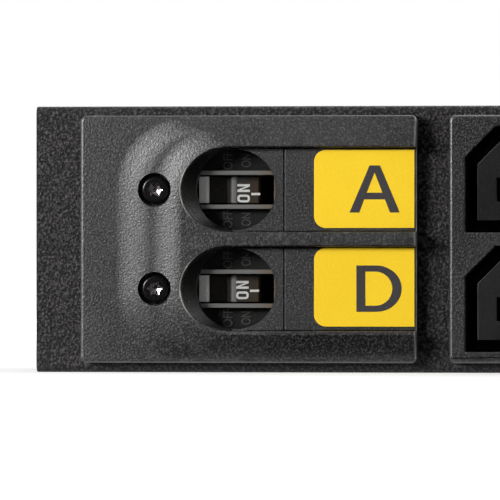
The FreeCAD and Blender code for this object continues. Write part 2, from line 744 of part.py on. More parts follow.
def clamp_place(pole):
    """x range, heights and z range of one clamp."""
    back = -CHASSIS_DEPTH + SHEET + NEST_GAP
    face = back + BLOCK_DEPTH - CLAMP_FROM_FRONT
    z_range = around(CLAMP_POLES[pole], CLAMP_WIDTH / 2)
    return (BLOCK_LEFT, BLOCK_LEFT + CLAMP_LENGTH), (face - CLAMP_DEPTH, face), z_range


def terminal_block():
    """A push-in block: open cages for the clamps on the left, release slots in front of them."""
    back = -CHASSIS_DEPTH + SHEET + NEST_GAP
    body = slab((BLOCK_LEFT, BLOCK_RIGHT), (back, back + BLOCK_DEPTH), around(0, BLOCK_HALF))
    cuts = []
    for pole in CLAMP_POLES:
        x_range, heights, z_range = clamp_place(pole)
        cage_x = (x_range[0] - SEAT, x_range[1] + SEAT)
        release_x = around(sum(x_range) / 2, RELEASE_LENGTH / 2)
        release_z = around(CLAMP_POLES[pole], RELEASE_WIDTH / 2)
        cuts.append(slab(cage_x, heights, (z_range[0] - SEAT, z_range[1] + SEAT)))
        cuts.append(slab(release_x, (heights[1], heights[1] + BLOCK_DEPTH), release_z))
    return body.cut(cuts)


def terminal_clamps():
    return Part.makeCompound([slab(*clamp_place(pole)) for pole in CLAMP_POLES])


# Cord gland on the right end

def gland_point(x):
    return vec(x, END_MIDDLE, 0)


def gland_face():
    return RIGHT_END - END_RECESS


def gland_body():
    face = gland_face()
    tail = rod(GLAND_THREAD, gland_point(face - GLAND_TAIL), gland_point(face))
    flange = hexagon_prism(GLAND_HEX, gland_point(face), vec(GLAND_FLANGE, 0, 0))
    top = face + GLAND_FLANGE + GLAND_NECK_LENGTH
    neck = rod(GLAND_NECK, gland_point(face + GLAND_FLANGE), gland_point(top))
    bore = rod(GLAND_BORE + SLIP, gland_point(face - 2 * GLAND_TAIL), gland_point(top + GLAND_TAIL))
    return joined([tail, flange, neck]).cut(bore)


def gland_seal():
    top = gland_face() + GLAND_FLANGE + GLAND_NECK_LENGTH
    ring = rod(GLAND_BORE, gland_point(top - SEAL_LENGTH), gland_point(top))
    return ring.cut(rod(CORD_RADIUS, gland_point(top - 2 * SEAL_LENGTH), gland_point(top + SEAL_LENGTH)))


def gland_nut():
    start = gland_face() + GLAND_FLANGE + SEAT
    top = gland_face() + GLAND_FLANGE + GLAND_NECK_LENGTH + SEAT
    end = start + NUT_LENGTH
    shoulder = end - NUT_NOSE
    hexagon = hexagon_prism(NUT_HEX, gland_point(start), vec(shoulder - start, 0, 0))
    nose = rod(NUT_MOUTH + NUT_LIP, gland_point(shoulder), gland_point(end))
    cavity = rod(GLAND_NECK + SLIP, gland_point(start - SLIP), gland_point(top))
    mouth = rod(NUT_MOUTH, gland_point(start), gland_point(end + SLIP))
    return hexagon.fuse(nose).cut([cavity, mouth])


def gland_locknut():
    inner = gland_face() - SHEET
    nut = hexagon_prism(GLAND_HEX, gland_point(inner), vec(-LOCKNUT_THICKNESS, 0, 0))
    return nut.cut(rod(GLAND_THREAD + SLIP, gland_point(inner - GLAND_TAIL), gland_point(inner + SHEET)))


# Wires

def feed_wires():
    wires = []
    for name, row in ROWS.items():
        z = CLAMP_POLES["line_" + name]
        start = HOLE_X - BLADE_OFFSET + BLADE_THICKNESS / 2
        turn = start + WIRE_APPROACH
        route = [(BLOCK_LEFT, z), (turn, z), (turn, row), (start, row)]
        wires.append(wire([(x, -FEED_LEVEL, z) for x, z in route]))
    return Part.makeCompound(wires)


def load_wires():
    wires = []
    landing = outlet_centres()[0] - POLE_SPACING / 2 - STRIP_END + WIRE_LANDING
    for name, row in ROWS.items():
        strip_z = OUTLET_ROWS[name] - STRIP_OFFSET
        start = HOLE_X + BLADE_OFFSET + BLADE_THICKNESS / 2
        back = front(STRIP_FRONT - STRIP)
        wires.append(wire([(start, -SUPPLY_LEVEL, row), (landing, -SUPPLY_LEVEL, row),
                           (landing, -SUPPLY_LEVEL, strip_z), (landing, back, strip_z)]))
    return Part.makeCompound(wires)


def jumper(x, strip_front, offset):
    """A U of wire from one row's strip to the other's, behind all the strips."""
    back = front(strip_front - STRIP)
    level = front(EARTH_STRIP_FRONT - STRIP - JUMPER_BEHIND_STRIPS)
    high, low = [row + offset for row in OUTLET_ROWS.values()]
    return wire([(x, back, high), (x, level, high), (x, level, low), (x, back, low)])


def neutral_wires():
    landing = outlet_centres()[-1] + POLE_SPACING / 2 + STRIP_END - WIRE_LANDING
    z = OUTLET_ROWS["d"] + STRIP_OFFSET
    back = front(STRIP_FRONT - STRIP)
    points = [(BLOCK_LEFT, -SUPPLY_LEVEL, z), (landing, -SUPPLY_LEVEL, z), (landing, back, z)]
    beside = landing - 2 * WIRE_RADIUS - SHEET
    return Part.makeCompound([wire(points), jumper(beside, STRIP_FRONT, STRIP_OFFSET)])


def earth_wires():
    z = CLAMP_POLES["earth"]
    landing = outlet_centres()[-1] + STRIP_END - WIRE_LANDING
    strip_z = OUTLET_ROWS["a"] + EARTH_RISE
    points = [(BLOCK_LEFT, -EARTH_LEVEL, z), (landing, -EARTH_LEVEL, z), (landing, -EARTH_LEVEL, strip_z),
              (landing, front(EARTH_STRIP_FRONT - STRIP), strip_z)]
    bond = wire([(BLOCK_LEFT, -BOND_LEVEL, z), (BLOCK_LEFT - EARTH_TAB_FROM_BLOCK, -BOND_LEVEL, z)])
    start = outlet_centres()[0] - STRIP_END + WIRE_LANDING
    link = jumper(start, EARTH_STRIP_FRONT, EARTH_RISE)
    return Part.makeCompound([wire(points), link, bond])


def earth_tab():
    """An L of brass welded to the rear channel, where the case is bonded to earth."""
    right = BLOCK_LEFT - EARTH_TAB_FROM_BLOCK
    z_range = around(CLAMP_POLES["earth"], EARTH_TAB_WIDTH / 2)
    foot = block((right - EARTH_TAB_FOOT, right), (-SHEET - EARTH_TAB, -SHEET), z_range)
    blade_up = block((right - EARTH_TAB, right), (-SHEET - EARTH_TAB_RISE, -SHEET), z_range)
    return joined([foot, blade_up])


# Everything by name

def all_nodes():
    nodes = {
        "front_cover": front_cover(),
        "rear_channel": rear_channel(),
        "end_plate_left": end_plate(-1),
        "end_plate_right": end_plate(1),
        "breaker_strap": breaker_strap(),
        "mounting_buttons": Part.makeCompound([mounting_button(x) for x in button_places()]),
        "breaker_bezel": breaker_bezel(),
        "bezel_screws": Part.makeCompound([pan_screw(x, z) for x, z in fixing_places()]),
        "outlet_bezel": outlet_bezel(),
        "terminal_block": terminal_block(),
        "terminal_clamps": terminal_clamps(),
        "gland_body": gland_body(),
        "gland_seal": gland_seal(),
        "gland_nut": gland_nut(),
        "gland_locknut": gland_locknut(),
        "feed_wires": feed_wires(),
        "load_wires": load_wires(),
        "neutral_wires": neutral_wires(),
        "earth_wires": earth_wires(),
        "earth_tab": earth_tab(),
    }
    for name, row in ROWS.items():
        nodes["label_plate_" + name] = label_plate(row)
        nodes["label_" + name] = label_film(row)
        nodes["breaker_" + name + "_case_upper"] = case_half(row, 1)
        nodes["breaker_" + name + "_case_lower"] = case_half(row, -1)
        nodes["breaker_" + name + "_insert"] = insert(row)
        nodes["breaker_" + name + "_line_blade"] = blade(row, -1, 0)
        nodes["breaker_" + name + "_load_blade"] = blade(row, 1, 0)
        nodes["rocker_" + name] = rocker(row)
        nodes["rocker_pin_" + name] = rocker_pin(row, 0)
    for name, row in OUTLET_ROWS.items():
        for number, x in enumerate(outlet_centres(), 1):
            nodes["outlet_" + name + str(number)] = outlet_insert(x, row)
        for pole in ("line", "neutral", "earth"):
            nodes[pole + "_bus_" + name] = contact_strip(pole, row)
    return nodes


os.makedirs("parts", exist_ok=True)
for node_name, shape in all_nodes().items():
    shape.exportStep("parts/" + node_name + ".step")
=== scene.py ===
import json
import math
import bpy
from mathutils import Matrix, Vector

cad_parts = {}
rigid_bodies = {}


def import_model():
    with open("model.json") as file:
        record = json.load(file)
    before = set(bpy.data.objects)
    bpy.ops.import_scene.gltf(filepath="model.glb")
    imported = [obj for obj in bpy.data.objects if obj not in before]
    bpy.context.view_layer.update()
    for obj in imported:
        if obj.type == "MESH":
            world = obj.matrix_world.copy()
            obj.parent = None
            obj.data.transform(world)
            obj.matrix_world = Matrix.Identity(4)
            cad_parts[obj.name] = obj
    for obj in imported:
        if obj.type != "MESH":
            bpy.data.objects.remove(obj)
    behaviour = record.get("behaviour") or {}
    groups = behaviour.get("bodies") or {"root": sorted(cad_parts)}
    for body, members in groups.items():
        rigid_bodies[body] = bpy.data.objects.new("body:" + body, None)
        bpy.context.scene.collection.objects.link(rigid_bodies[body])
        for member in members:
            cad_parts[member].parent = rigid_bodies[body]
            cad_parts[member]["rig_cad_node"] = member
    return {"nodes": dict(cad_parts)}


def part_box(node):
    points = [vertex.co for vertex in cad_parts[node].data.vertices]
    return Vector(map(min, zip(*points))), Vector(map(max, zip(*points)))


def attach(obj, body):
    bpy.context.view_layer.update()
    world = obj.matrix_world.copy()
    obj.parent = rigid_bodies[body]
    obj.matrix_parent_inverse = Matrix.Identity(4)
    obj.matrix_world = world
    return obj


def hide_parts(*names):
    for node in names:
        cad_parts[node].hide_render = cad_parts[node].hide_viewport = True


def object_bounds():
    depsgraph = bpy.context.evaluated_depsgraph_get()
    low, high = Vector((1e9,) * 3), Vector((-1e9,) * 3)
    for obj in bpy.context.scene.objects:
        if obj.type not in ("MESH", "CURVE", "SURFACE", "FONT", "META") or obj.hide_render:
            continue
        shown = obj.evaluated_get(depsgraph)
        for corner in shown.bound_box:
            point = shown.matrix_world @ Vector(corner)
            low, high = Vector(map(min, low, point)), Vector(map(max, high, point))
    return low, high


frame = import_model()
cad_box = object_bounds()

# Rack power distribution unit, dressed. Metres; the front faces -Y and the unit lies along X.
MM = 0.001

# View: a long lens, a little to the right of square on
VIEW_AZIMUTH = math.radians(7.0)
VIEW_ELEVATION = math.radians(0.0)
VIEW_CENTRE = (-65.75 * MM, -55.0 * MM, -2.1 * MM)
VIEW_WIDTH = 97.4 * MM
LENS = 500.0
SENSOR = 36.0

# Mesh clean-up
MERGE = 0.0005 * MM
FLAT = math.radians(0.3)
CREASE = math.radians(32)
EDGE_ROUND = 0.15 * MM
EDGE_STEPS = 2
FOLD_ANGLE = math.radians(40)
STRAIGHT = 0.99

# Turns that stand a flat outline up to face the front, reading right or reading upwards
FACING_FRONT = (math.radians(90), 0, 0)
FACING_FRONT_TURNED = (math.radians(90), math.radians(-90), 0)
PRINT_THICKNESS = 0.03 * MM

# Height of each row of breakers, and where the rockers' holes and the bezel screws are along X
rows = {name: sum(corner[2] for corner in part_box("rocker_" + name)) / 2 for name in "ad"}
HOLE_X = -68.5 * MM
SCREW_X = -84.375 * MM


# Selecting and finishing pieces

def alone(piece):
    """Selects one piece and makes it the active one, in object mode."""
    if bpy.context.mode != "OBJECT":
        bpy.ops.object.mode_set(mode="OBJECT")
    bpy.ops.object.select_all(action="DESELECT")
    piece.select_set(True)
    bpy.context.view_layer.objects.active = piece


def named(name):
    piece = bpy.context.active_object
    piece.name = name
    piece.data.name = name
    return piece


def begin_pick(piece, kind):
    """Deselects all of a piece's mesh, ready for edges or faces to be selected in code."""
    alone(piece)
    bpy.ops.object.mode_set(mode="EDIT")
    bpy.ops.mesh.select_mode(type=kind)
    bpy.ops.mesh.select_all(action="DESELECT")
    bpy.ops.object.mode_set(mode="OBJECT")


def pick_edges(piece, test):
    """Into edit mode with just the edges selected whose two ends pass a test."""
    begin_pick(piece, "EDGE")
    points = piece.data.vertices
    for edge in piece.data.edges:
        edge.select = test(*[points[index].co for index in edge.vertices])
    bpy.ops.object.mode_set(mode="EDIT")


def pick_faces(piece, test):
    """Into edit mode with just the faces selected whose normal passes a test."""
    begin_pick(piece, "FACE")
    for face in piece.data.polygons:
        face.select = test(face.normal)
    bpy.ops.object.mode_set(mode="EDIT")


def apply_place(piece):
    alone(piece)
    bpy.ops.object.transform_apply(location=True, rotation=True, scale=True)


def modify(piece, kind, **settings):
    """Adds one modifier, sets it and applies it."""
    alone(piece)
    bpy.ops.object.modifier_add(type=kind)
    modifier = piece.modifiers[-1]
    for key, value in settings.items():
        setattr(modifier, key, value)
    bpy.ops.object.modifier_apply(modifier=modifier.name)


def smooth(piece):
    alone(piece)
    bpy.ops.object.shade_smooth_by_angle(angle=CREASE)
    modify(piece, "WEIGHTED_NORMAL", keep_sharp=True)


def settle(piece, body, slot, finish, *nodes):
    """Gives a piece its finish, its body and the nodes it stands for."""
    piece.data.materials.clear()
    piece.data.materials.append(finish)
    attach(piece, body)
    if nodes:
        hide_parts(*nodes)


def dressed(node, body, slot, edge_round=EDGE_ROUND):
    """A copy of a node with whole flats, small rounds on its edges and smooth shading."""
    alone(frame["nodes"][node])
    bpy.ops.object.duplicate()
    piece = named(node + "_dressed")
    del piece["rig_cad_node"]
    bpy.ops.object.mode_set(mode="EDIT")
    bpy.ops.mesh.select_all(action="SELECT")
    bpy.ops.mesh.remove_doubles(threshold=MERGE)
    bpy.ops.mesh.dissolve_limited(angle_limit=FLAT)
    bpy.ops.object.mode_set(mode="OBJECT")
    modify(piece, "BEVEL", width=edge_round, segments=EDGE_STEPS, limit_method="ANGLE",
           angle_limit=FOLD_ANGLE, use_clamp_overlap=True)
    smooth(piece)
    settle(piece, body, slot, finishes[slot], node)
    return piece


# Shader helpers

def add(tree, kind, values=None, **settings):
    made = tree.nodes.new(kind)
    for key, value in settings.items():
        setattr(made, key, value)
    for socket, value in (values or {}).items():
        made.inputs[socket].default_value = value
    return made


def begin_group(name, inputs, outputs):
    group = bpy.data.node_groups.new(name, "ShaderNodeTree")
    for socket, value in inputs.items():
        made = group.interface.new_socket(socket, in_out="INPUT", socket_type="NodeSocketFloat")
        made.default_value = value
    for socket in outputs:
        group.interface.new_socket(socket, in_out="OUTPUT", socket_type="NodeSocketFloat")
    return group, group.nodes.new("NodeGroupInput"), group.nodes.new("NodeGroupOutput")


def math_node(tree, operation, first, second):
    made = add(tree, "ShaderNodeMath", operation=operation)
    for socket, value in zip(made.inputs, (first, second)):
        if isinstance(value, (int, float)):
            socket.default_value = value
        else:
            tree.links.new(value, socket)
    return made.outputs[0]


def times(tree, first, second):
    return math_node(tree, "MULTIPLY", first, second)


def minus(tree, first, second):
    return math_node(tree, "SUBTRACT", first, second)


def larger(tree, first, second):
    return math_node(tree, "MAXIMUM", first, second)


def unsigned(tree, value):
    return math_node(tree, "ABSOLUTE", value, 0)


def stretch(tree, value, low, high, to_low=0.0, to_high=1.0):
    made = add(tree, "ShaderNodeMapRange", {1: low, 2: high, 3: to_low, 4: to_high})
    made.interpolation_type = "SMOOTHSTEP"
    tree.links.new(value, made.inputs[0])
    return made.outputs[0]


def noise(tree, place, scale, detail, roughness=0.5):
    made = add(tree, "ShaderNodeTexNoise", {"Detail": detail, "Roughness": roughness})
    tree.links.new(place, made.inputs["Vector"])
    if isinstance(scale, (int, float)):
        made.inputs["Scale"].default_value = scale
    else:
        tree.links.new(scale, made.inputs["Scale"])
    return made.outputs[0]


def object_place(tree):
    return add(tree, "ShaderNodeTexCoord").outputs["Object"]


def length_of(tree, vector):
    made = add(tree, "ShaderNodeVectorMath", operation="LENGTH")
    tree.links.new(vector, made.inputs[0])
    return made.outputs["Value"]


def flat_length(tree, across, up):
    """How far a point is from the middle, from its two offsets."""
    offsets = add(tree, "ShaderNodeCombineXYZ")
    tree.links.new(across, offsets.inputs[0])
    tree.links.new(up, offsets.inputs[1])
    return length_of(tree, offsets.outputs[0])


SPECK_HEIGHTS = (0.5, 0.72)
PATCH_HEIGHTS = (0.3, 0.7)


def grain_group():
    """Moulded grain: a fine height, a sparse speck and a broad patchiness."""
    group, taken, given = begin_group("moulded_grain", {"Scale": 3200.0, "Patch Scale": 90.0},
                                      ("Height", "Speck", "Patch"))
    place = object_place(group)
    fine = noise(group, place, taken.outputs["Scale"], detail=2.0, roughness=0.6)
    group.links.new(fine, given.inputs["Height"])
    group.links.new(stretch(group, fine, *SPECK_HEIGHTS), given.inputs["Speck"])
    patch = noise(group, place, taken.outputs["Patch Scale"], detail=3.0)
    group.links.new(stretch(group, patch, *PATCH_HEIGHTS), given.inputs["Patch"])
    return group


FOLD_FINENESS = 1.1
LUMP_SHARE = 0.5
TONE_HEIGHTS = (0.18, 0.52)


def wrinkle_group():
    """Wrinkle paint: rounded lumps with finer folds over them."""
    group, taken, given = begin_group("paint_wrinkle", {"Scale": 1900.0}, ("Height", "Tone"))
    place = object_place(group)
    lumps = add(group, "ShaderNodeTexVoronoi", feature="SMOOTH_F1")
    group.links.new(place, lumps.inputs["Vector"])
    group.links.new(taken.outputs["Scale"], lumps.inputs["Scale"])
    fold_scale = times(group, taken.outputs["Scale"], FOLD_FINENESS)
    folds = noise(group, place, fold_scale, detail=3.0, roughness=0.6)
    height = minus(group, folds, times(group, lumps.outputs[0], LUMP_SHARE))
    group.links.new(height, given.inputs["Height"])
    group.links.new(stretch(group, height, *TONE_HEIGHTS), given.inputs["Tone"])
    return group


STREAK_SQUEEZE = (0.06, 1.0, 1.0)
STREAK_HEIGHTS = (0.6, 0.75)
SMUDGE_HEIGHTS = (0.42, 0.68)


def handling_group():
    """Marks of use: broad smudges and thin rubbed streaks along the unit."""
    group, taken, given = begin_group("handling", {"Smudge Scale": 60.0, "Streak Scale": 900.0},
                                      ("Smudge", "Streak"))
    place = object_place(group)
    smudge = noise(group, place, taken.outputs["Smudge Scale"], detail=4.0)
    group.links.new(stretch(group, smudge, *SMUDGE_HEIGHTS), given.inputs["Smudge"])
    along = add(group, "ShaderNodeMapping", {"Scale": STREAK_SQUEEZE})
    group.links.new(place, along.inputs["Vector"])
    streak = noise(group, along.outputs[0], taken.outputs["Streak Scale"], detail=2.0)
    group.links.new(stretch(group, streak, *STREAK_HEIGHTS), given.inputs["Streak"])
    return group


def band_group():
    """1 between Low and High, falling to 0 over Soft on both sides."""
    group, taken, given = begin_group("band", {"Value": 0.0, "Low": 0.0, "High": 1.0, "Soft": 0.1},
                                      ("Mask",))
    value, low, high, soft = [taken.outputs[name] for name in ("Value", "Low", "High", "Soft")]
    rise = math_node(group, "DIVIDE", minus(group, value, low), soft)
    fall = math_node(group, "DIVIDE", minus(group, high, value), soft)
    sides = [stretch(group, math_node(group, "ADD", side, 0.5), 0.0, 1.0) for side in (rise, fall)]
    group.links.new(times(group, *sides), given.inputs["Mask"])
    return group


GRAIN = grain_group()
WRINKLE = wrinkle_group()
HANDLING = handling_group()
BAND = band_group()


def use(tree, group, **values):
    made = add(tree, "ShaderNodeGroup", node_tree=group)
    for socket, value in values.items():
        made.inputs[socket.replace("_", " ")].default_value = value
    return made.outputs


def band(tree, value, low, high, soft):
    made = add(tree, "ShaderNodeGroup", node_tree=BAND)
    tree.links.new(value, made.inputs["Value"])
    for socket, number in (("Low", low), ("High", high), ("Soft", soft)):
        made.inputs[socket].default_value = number
    return made.outputs["Mask"]


def grey(tone):
    return (tone, tone, tone)


def tones(tree, mask, dark, light):
    made = add(tree, "ShaderNodeValToRGB")
    made.color_ramp.elements[0].color = (*dark, 1)
    made.color_ramp.elements[1].color = (*light, 1)
    tree.links.new(mask, made.inputs[0])
    return made.outputs[0]


def blend_colours(tree, mask, under, over):
    """Mixes a colour or a link over another by a mask."""
    made = add(tree, "ShaderNodeMix", data_type="RGBA")
    tree.links.new(mask, made.inputs[0])
    for socket, value in ((made.inputs[6], under), (made.inputs[7], over)):
        if isinstance(value, tuple):
            socket.default_value = (*value, 1)
        else:
            tree.links.new(value, socket)
    return made.outputs[2]


def begin_finish(name):
    material = bpy.data.materials.new(name)
    material.use_nodes = True
    tree = material.node_tree
    return material, tree, tree.nodes["Principled BSDF"]


def bump(tree, shader, height, strength, distance):
    made = add(tree, "ShaderNodeBump", {"Strength": strength, "Distance": distance})
    tree.links.new(height, made.inputs["Height"])
    tree.links.new(made.outputs[0], shader.inputs["Normal"])


def object_axes(tree):
    split = add(tree, "ShaderNodeSeparateXYZ")
    tree.links.new(object_place(tree), split.inputs[0])
    return split.outputs


# Finishes. A plastic is its dark and light tone, roughness, grain scale, grain depth and specular
# level. A zone is where it starts and ends and how softly. Four numbers spread the first two to the
# last two. The scoop's painted shade and the painted highlight on its lip are in shares of its
# oval.

bezel_low, bezel_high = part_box("breaker_bezel")
SCOOP_HALF = 9.45 * MM
SCOOP_CENTRE = HOLE_X - 1.0 * MM
CHANNEL_HALF = 8.2 * MM
SPECK_SHARE = 0.7
PATCH_SHARE = 0.3
SMUDGE_DULLS = 0.06

PAINT_DARK, PAINT_LIGHT = grey(0.0004), (0.05, 0.044, 0.049)
PAINT_DULL, PAINT_SHEEN = 0.6, 0.4
PAINT_DEPTH = 0.22 * MM

BEZEL_PLASTIC = (grey(0.0005), (0.006, 0.0059, 0.0061), 0.4, 2500.0, 0.07 * MM, 0.93)
GRAIN_TIP_SCALE = 2700.0
GRAIN_TIPS = (0.46, 0.7, 0.0, 0.8)
GRAIN_TIP_COLOUR = (0.082, 0.0805, 0.083)
# Painted highlight: a lighter colour along the bezel's left, right and bottom edges stands in for
# the light those edges catch
EDGE_HIGHLIGHT_WIDTH = 0.22 * MM
EDGE_HIGHLIGHT_DEPTHS = (-60 * MM, -54.9 * MM, 0.2 * MM)
LEFT_HIGHLIGHT_SHARE = 0.5
EDGE_PAINTED_HIGHLIGHT = (0.15, 0.146, 0.142)
# Painted shade: a darker colour inside each scoop's oval stands in for the shade in the recess
SCOOP_SHADE_ZONE = (1.0, 0.96)
SCOOP_PAINTED_SHADE = grey(0.0015)
# Painted highlight: a lighter colour on the crest just left of each scoop stands in for the light
# its lip catches
LIP_HIGHLIGHT_ZONE = (1.02, 1.045, 0.02)
LIP_HIGHLIGHT_FROM_CENTRE = (6.0 * MM, 9.0 * MM)
LIP_PAINTED_HIGHLIGHT = (0.34, 0.32, 0.28)
# Smudge noise that breaks up the painted highlights on the bezel's edges and lips
HIGHLIGHT_BREAKUP_SCALE = 400.0
LEAST_HIGHLIGHT = 0.55

BREAKER_PLASTIC = ((0.007, 0.007, 0.0068), (0.022, 0.0215, 0.02), 0.5, 2600.0, 0.02 * MM, 0.15)
RAIL = (2.9 * MM, 3.75 * MM, 0.2 * MM)
# Painted highlight: the end bar inside the right of each hole is lightened like the rails, for the
# light its edge catches
END_BAR_HIGHLIGHT_HEIGHT = (-MM, 3.75 * MM, 0.2 * MM)
END_BAR_HIGHLIGHT = (-61.35 * MM, -60.9 * MM, 0.1 * MM)
END_BAR_HIGHLIGHT_SHARE = 0.7
RAIL_DEPTHS = (-60 * MM, -52.6 * MM, 0.2 * MM)
RAIL_STREAK_SCALE = 2500.0
LEAST_RUB_AND_HIGHLIGHT = 0.8
# Painted bounce light: the rails turn warm brown towards their right ends, for yellow light from
# the label
RAIL_BOUNCE_ZONE = (-66 * MM, -61 * MM)
RAIL_GREY, RAIL_PAINTED_BOUNCE = (0.16, 0.158, 0.154), (0.15, 0.115, 0.085)

ROCKER_PLASTIC = ((0.01, 0.0095, 0.0075), (0.026, 0.0245, 0.02), 0.45, 2600.0, 0.02 * MM, 0.2)
# Painted highlight: a light colour on the rocker's tip and, more faintly, along its ridge stands in
# for the light they catch
TIP_HIGHLIGHT = (-8.5 * MM, -5.7 * MM, 0.2 * MM)
TIP_EDGE_HIGHLIGHT = (-5.9 * MM, -5.6 * MM, 0.1 * MM)
RIDGE_HIGHLIGHT = (-1.5 * MM, -0.5 * MM, 0.5 * MM)
RIDGE_HIGHLIGHT_SHARE = 0.28
ROCKER_FACE = (-0.9 * MM, 6.0 * MM, 0.8 * MM)
ROCKER_FACE_SHARE = 0.5
ROCKER_FACE_COLOUR = (0.06, 0.055, 0.048)
ROCKER_GRAIN_SCALE = 2600.0
LEAST_TIP_HIGHLIGHT = 0.85
ROCKER_PAINTED_HIGHLIGHT = (0.62, 0.61, 0.6)
FACE_TURNS_BROWN = (0.5 * MM, 4.2 * MM, 0.0, 0.8)
ROCKER_BROWN = (0.05, 0.034, 0.02)

METAL_STREAK_DULLS = 0.15
PATCHES_PER_GRAIN = 12
METAL_BUMP, SCREW_BUMP = 0.2, 0.3
METAL_DEPTH = 0.01 * MM
SCREW_GRAIN_SCALE, SCREW_PATCH_SCALE = 2500.0, 1100.0
SCREW_DARK, SCREW_LIGHT = grey(0.004), grey(0.012)
SCREW_SHEEN, SCREW_DULL = 0.24, 0.34
WORN_RADIUS = (-MM, 1.7 * MM, 0.1 * MM)
WORN_DEPTHS = (-55.5 * MM, -53.8 * MM, 0.1 * MM)
WORN_PATCHES = (0.0, 0.6, 0.3, 1.0)
WORN_STEEL = (0.75, 0.69, 0.7)

PAINT_SPECULAR = SCREW_SPECULAR = 0.3


def moulded(name, dark, light, roughness, grain_scale, grain_depth, specular):
    """Moulded plastic: grained, a little patchy, with handling smudges in its gloss."""
    material, tree, shader = begin_finish(name)
    grain = use(tree, GRAIN, Scale=grain_scale)
    mix = math_node(tree, "MULTIPLY_ADD", grain["Speck"], SPECK_SHARE)
    tree.links.new(times(tree, grain["Patch"], PATCH_SHARE), mix.node.inputs[2])
    colour = tones(tree, mix, dark, light)
    tree.links.new(colour, shader.inputs["Base Color"])
    smudge = use(tree, HANDLING)["Smudge"]
    gloss = stretch(tree, smudge, 0.0, 1.0, roughness, roughness + SMUDGE_DULLS)
    tree.links.new(gloss, shader.inputs["Roughness"])
    bump(tree, shader, grain["Height"], strength=1.0, distance=grain_depth)
    shader.inputs["Specular IOR Level"].default_value = specular
    return material, tree, shader, colour


def chassis_paint():
    material, tree, shader = begin_finish("chassis_paint")
    wrinkle = use(tree, WRINKLE)
    colour = tones(tree, wrinkle["Tone"], PAINT_DARK, PAINT_LIGHT)
    tree.links.new(colour, shader.inputs["Base Color"])
    gloss = stretch(tree, wrinkle["Tone"], 0.0, 1.0, PAINT_DULL, PAINT_SHEEN)
    tree.links.new(gloss, shader.inputs["Roughness"])
    bump(tree, shader, wrinkle["Height"], strength=1.0, distance=PAINT_DEPTH)
    shader.inputs["Specular IOR Level"].default_value = PAINT_SPECULAR
    return material


def bezel_plastic():
    """Grained dark grey plastic, with painted highlights along its edges and on the lip left of
    each scoop, and painted shade inside each scoop.
    """
    material, tree, shader, colour = moulded("bezel_plastic", *BEZEL_PLASTIC)
    tips = stretch(tree, use(tree, GRAIN, Scale=GRAIN_TIP_SCALE)["Height"], *GRAIN_TIPS)
    colour = blend_colours(tree, tips, colour, GRAIN_TIP_COLOUR)
    along, depth, up = object_axes(tree)
    left_end, right_end, half_height = bezel_low[0], bezel_high[0], bezel_high[2]
    # Painted highlight along the left, right and bottom edges
    left = band(tree, along, left_end, left_end + EDGE_HIGHLIGHT_WIDTH, EDGE_HIGHLIGHT_WIDTH / 2)
    left = times(tree, left, LEFT_HIGHLIGHT_SHARE)
    right = band(tree, along, right_end - 2 * EDGE_HIGHLIGHT_WIDTH, right_end, EDGE_HIGHLIGHT_WIDTH / 2)
    bottom = band(tree, up, -half_height, EDGE_HIGHLIGHT_WIDTH - half_height, EDGE_HIGHLIGHT_WIDTH / 2)
    edge = larger(tree, larger(tree, left, right), bottom)
    edge = times(tree, edge, band(tree, depth, *EDGE_HIGHLIGHT_DEPTHS))
    across = math_node(tree, "DIVIDE", minus(tree, along, SCOOP_CENTRE), SCOOP_HALF)
    over = math_node(tree, "DIVIDE", minus(tree, unsigned(tree, up), rows["a"]), CHANNEL_HALF)
    oval = flat_length(tree, across, over)
    # Painted shade inside the scoop
    colour = blend_colours(tree, stretch(tree, oval, *SCOOP_SHADE_ZONE), colour, SCOOP_PAINTED_SHADE)
    # Painted highlight on the lip left of the scoop
    lip_highlight_left = stretch(tree, along, *[SCOOP_CENTRE - reach for reach in LIP_HIGHLIGHT_FROM_CENTRE])
    lip = times(tree, band(tree, oval, *LIP_HIGHLIGHT_ZONE), lip_highlight_left)
    # Smudges break up the painted highlights
    smudge = use(tree, HANDLING, Smudge_Scale=HIGHLIGHT_BREAKUP_SCALE)["Smudge"]
    highlight_breakup = stretch(tree, smudge, 0.0, 1.0, LEAST_HIGHLIGHT, 1.0)
    colour = blend_colours(tree, times(tree, edge, highlight_breakup), colour, EDGE_PAINTED_HIGHLIGHT)
    colour = blend_colours(tree, times(tree, lip, highlight_breakup), colour, LIP_PAINTED_HIGHLIGHT)
    tree.links.new(colour, shader.inputs["Base Color"])
    return material


def breaker_plastic():
    """Dull black plastic whose rails are rubbed lighter, with a painted highlight on the end bar
    and painted warm bounce light towards the rails' right ends.
    """
    material, tree, shader, colour = moulded("breaker_plastic", *BREAKER_PLASTIC)
    along, depth, up = object_axes(tree)
    from_row = unsigned(tree, minus(tree, unsigned(tree, up), rows["a"]))
    # Painted highlight on the end bar, joined to the rubbed rails
    end_bar_highlight = times(tree, band(tree, from_row, *END_BAR_HIGHLIGHT_HEIGHT), band(tree, along, *END_BAR_HIGHLIGHT))
    rub_and_highlight = larger(tree, band(tree, from_row, *RAIL), times(tree, end_bar_highlight, END_BAR_HIGHLIGHT_SHARE))
    rub_and_highlight = times(tree, rub_and_highlight, band(tree, depth, *RAIL_DEPTHS))
    streak = use(tree, HANDLING, Streak_Scale=RAIL_STREAK_SCALE)["Streak"]
    rub_and_highlight = times(tree, rub_and_highlight, stretch(tree, streak, 0.0, 1.0, LEAST_RUB_AND_HIGHLIGHT, 1.0))
    # Painted warm bounce light towards the rails' right ends
    rub_and_bounce = blend_colours(tree, stretch(tree, along, *RAIL_BOUNCE_ZONE), RAIL_GREY, RAIL_PAINTED_BOUNCE)
    tree.links.new(blend_colours(tree, rub_and_highlight, colour, rub_and_bounce), shader.inputs["Base Color"])
    return material


